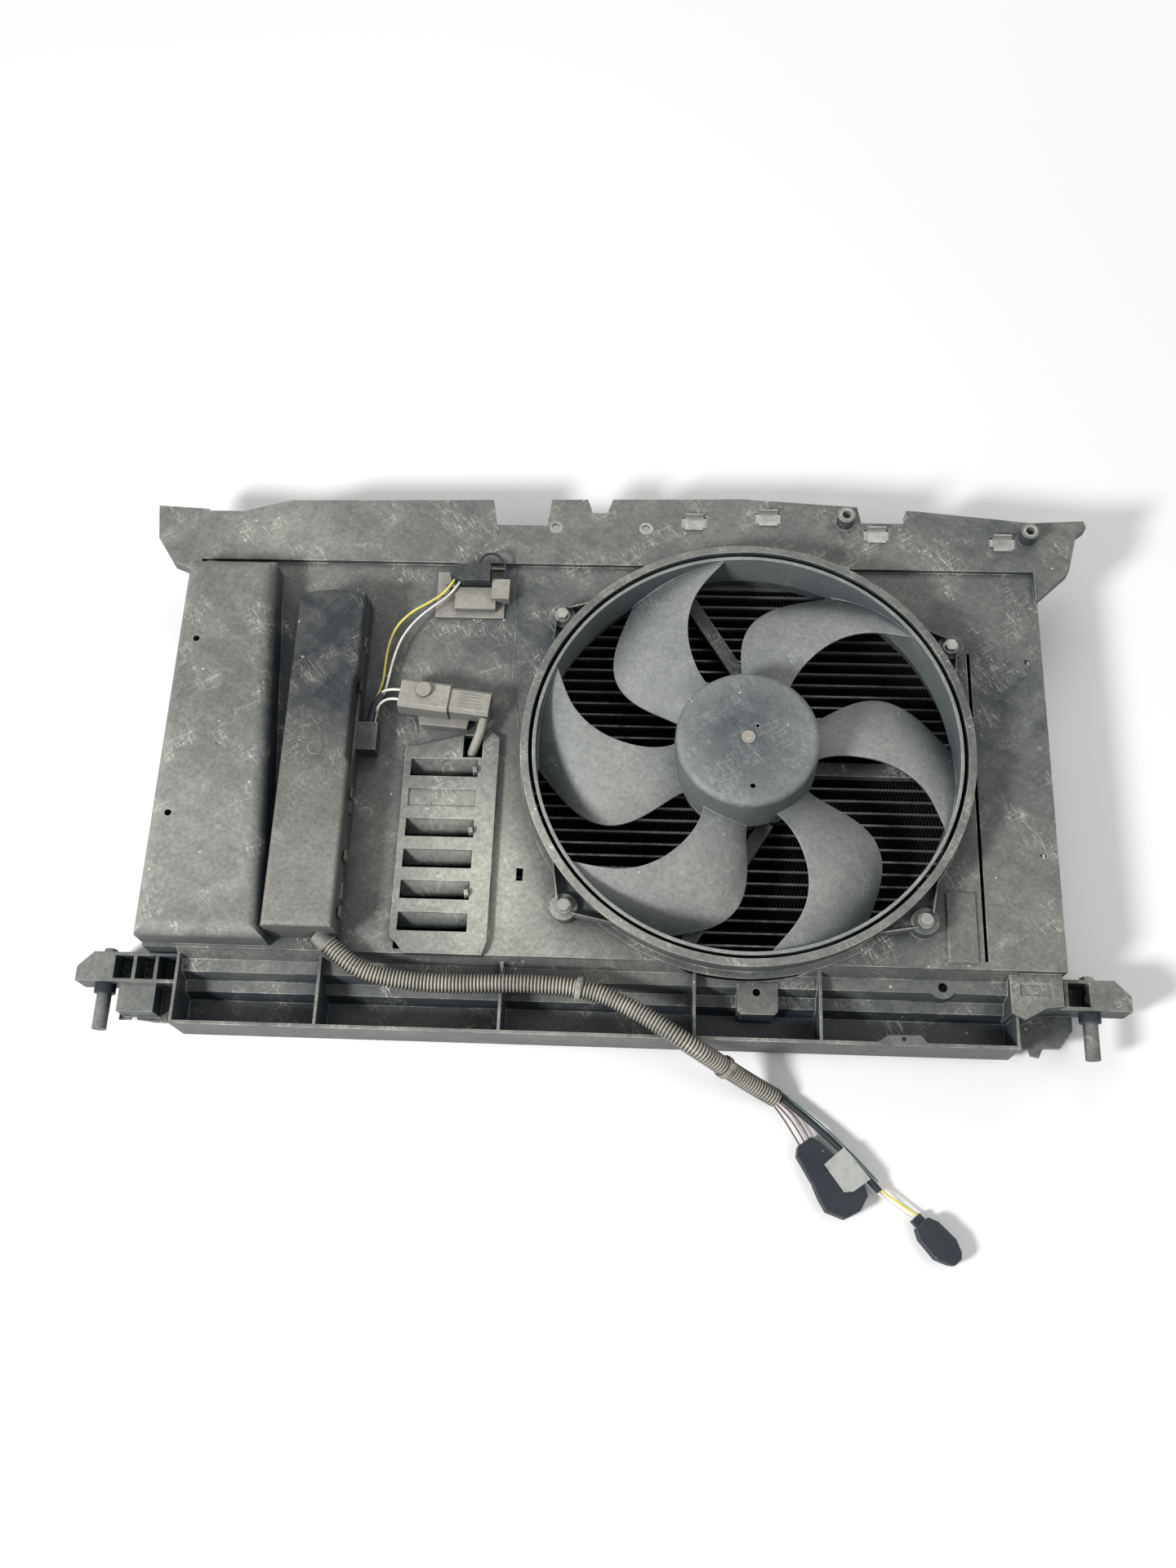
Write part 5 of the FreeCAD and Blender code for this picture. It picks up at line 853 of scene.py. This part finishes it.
def makeHubMarks(look, material):
    tree, given = sizeTree("hubMarks", "Start", look["sizes"])
    byRadius = {"mode": "RADIUS"}
    wide = tree.add("GeometryNodeCurvePrimitiveCircle", byRadius, Resolution=24, Radius=given["Ring"])
    thin = tree.add("GeometryNodeCurvePrimitiveCircle", byRadius, Resolution=6, Radius=given["Line"])
    ring = tree.add("GeometryNodeCurveToMesh", None, **{"Curve": wide, "Profile Curve": thin})
    spots = tree.add("GeometryNodeMeshCircle", None, Vertices=look["marks"], Radius=given["Out"])
    middle = vectorOf(tree, *look["centre"], look["top"])
    moved = tree.add("GeometryNodeSetPosition", None, Geometry=spots, Offset=middle)
    copies = tree.add("GeometryNodeInstanceOnPoints", None, Points=moved, Instance=ring)
    putOut(tree, copies, material)
    return settled(startFrom("hubMarksStart"), tree, look["sizes"], "hubMarks")


rideAs(makeHubMarks(hubLook, surfaces["fanPlastic"]), "rotor", "fan_plastic")
print("hub marks made")


# Folded fins between the tubes

finLook = {
    "fold": 0.0016,       # one slope to the next
    "strips": 33,
    "endGap": 0.0062,     # the gap of the first and last strip
    "centre": (0.002, -0.003, 0.0195),
    "sizes": {
        "Length": 0.6960,
        "Depth": 0.0254,
        "Gap": 0.0100,        # tube to tube
        "Sheet": 0.00014,
        "Pitch": 0.0118,
    },
}


# One strip: a grid folded up and down between two tubes, with the sheet's thickness
def foldedStrip(tree, given, look):
    folds = int(look["sizes"]["Length"] / look["fold"])
    cells = {"Vertices X": folds + 1, "Vertices Y": 2}
    sheet = tree.add("GeometryNodeMeshGrid", None, given["Length"], given["Depth"], **cells)
    index = tree.add("GeometryNodeInputIndex")
    flip = ((index * 0.5).floor() % 2.0) * 2.0 - 1.0
    place = tree.add("GeometryNodeInputPosition")
    across = tree.add("ShaderNodeSeparateXYZ", None, place, output="X")
    deep = tree.add("ShaderNodeSeparateXYZ", None, place, output="Y")
    bent = vectorOf(tree, across, flip * (given["Gap"] - given["Sheet"] * 2.0) * 0.5, deep)
    folded = tree.add("GeometryNodeSetPosition", None, Geometry=sheet, Position=bent)
    pushed = {"Mesh": folded, "Offset Scale": given["Sheet"], "Individual": False}
    thick = tree.add("GeometryNodeExtrudeMesh", {"mode": "FACES"}, **pushed)
    back = tree.add("GeometryNodeFlipFaces", None, Mesh=folded)
    both = tree.add("GeometryNodeJoinGeometry", None, [thick, back])
    return tree.add("GeometryNodeMergeByDistance", None, both)


# A row of strips; the first and last are narrower and stand nearer to the tubes
def makeFins(look, material):
    tree, given = sizeTree("finFolds", "Start", look["sizes"])
    strip = foldedStrip(tree, given, look)
    count = look["strips"]
    x, y, z = look["centre"]
    first = vectorOf(tree, x, given["Pitch"] * (-(count - 1) / 2) + y, z)
    spacing = {"Count": count, "Start Location": first, "Offset": vectorOf(tree, 0.0, given["Pitch"], 0.0)}
    rows = tree.add("GeometryNodeMeshLine", {"mode": "OFFSET"}, **spacing)
    index = tree.add("GeometryNodeInputIndex")
    isFirst = index < 0.5
    isLast = index > count - 1.5
    gap = look["sizes"]["Gap"]
    narrow = 1.0 - (isFirst + isLast) * (1.0 - look["endGap"] / gap)
    inward = vectorOf(tree, 0.0, (isFirst - isLast) * ((gap - look["endGap"]) / 2), 0.0)
    moved = tree.add("GeometryNodeSetPosition", None, Geometry=rows, Offset=inward)
    scaled = vectorOf(tree, 1.0, narrow, 1.0)
    strips = tree.add("GeometryNodeInstanceOnPoints", None, Points=moved, Instance=strip, Scale=scaled)
    putOut(tree, strips, material)
    return settled(startFrom("finStart"), tree, look["sizes"], "finFolds")


fins = makeFins(finLook, surfaces["finAluminium"])
rideAs(fins, "frame", "core_aluminium", "radiator_fins")
print("fins made,", len(fins.data.polygons), "faces")


# Floor, which fades to white away from the object

floorLook = {
    "reach": 14.0,
    "below": 0.0002,
    "colour": (0.86, 0.86, 0.86),
    "fadeFrom": 0.75,     # m from the middle
    "fadeTo": 1.7,
}


def makeFloor(look):
    reach = look["reach"]
    corners = ((-reach, -reach), (reach, -reach), (reach, reach), (-reach, reach))
    mesh = bpy.data.meshes.new("floor")
    mesh.from_pydata([(x, y, -look["below"]) for x, y in corners], [], [(0, 1, 2, 3)])
    floor = bpy.data.objects.new("floor", mesh)
    scene.collection.objects.link(floor)
    material, tree, shader = newMaterial("paleFloor")
    shader.inputs["Base Color"].default_value = (*look["colour"], 1)
    shader.inputs["Roughness"].default_value = 0.9
    place = tree.add("ShaderNodeTexCoord", None, output="Object")
    away = tree.add("ShaderNodeVectorMath", {"operation": "LENGTH"}, place, output="Value")
    white = tree.add("ShaderNodeEmission", None, Color=(1, 1, 1), Strength=1.0)
    far = away.between(look["fadeFrom"], look["fadeTo"]) * seenDirectly(tree)
    both = tree.add("ShaderNodeMixShader", None, far, Wire(tree, shader.outputs[0]), white)
    tree.feed(material.node_tree.nodes["Material Output"].inputs["Surface"], both)
    mesh.materials.append(material)


makeFloor(floorLook)

print("scene made")
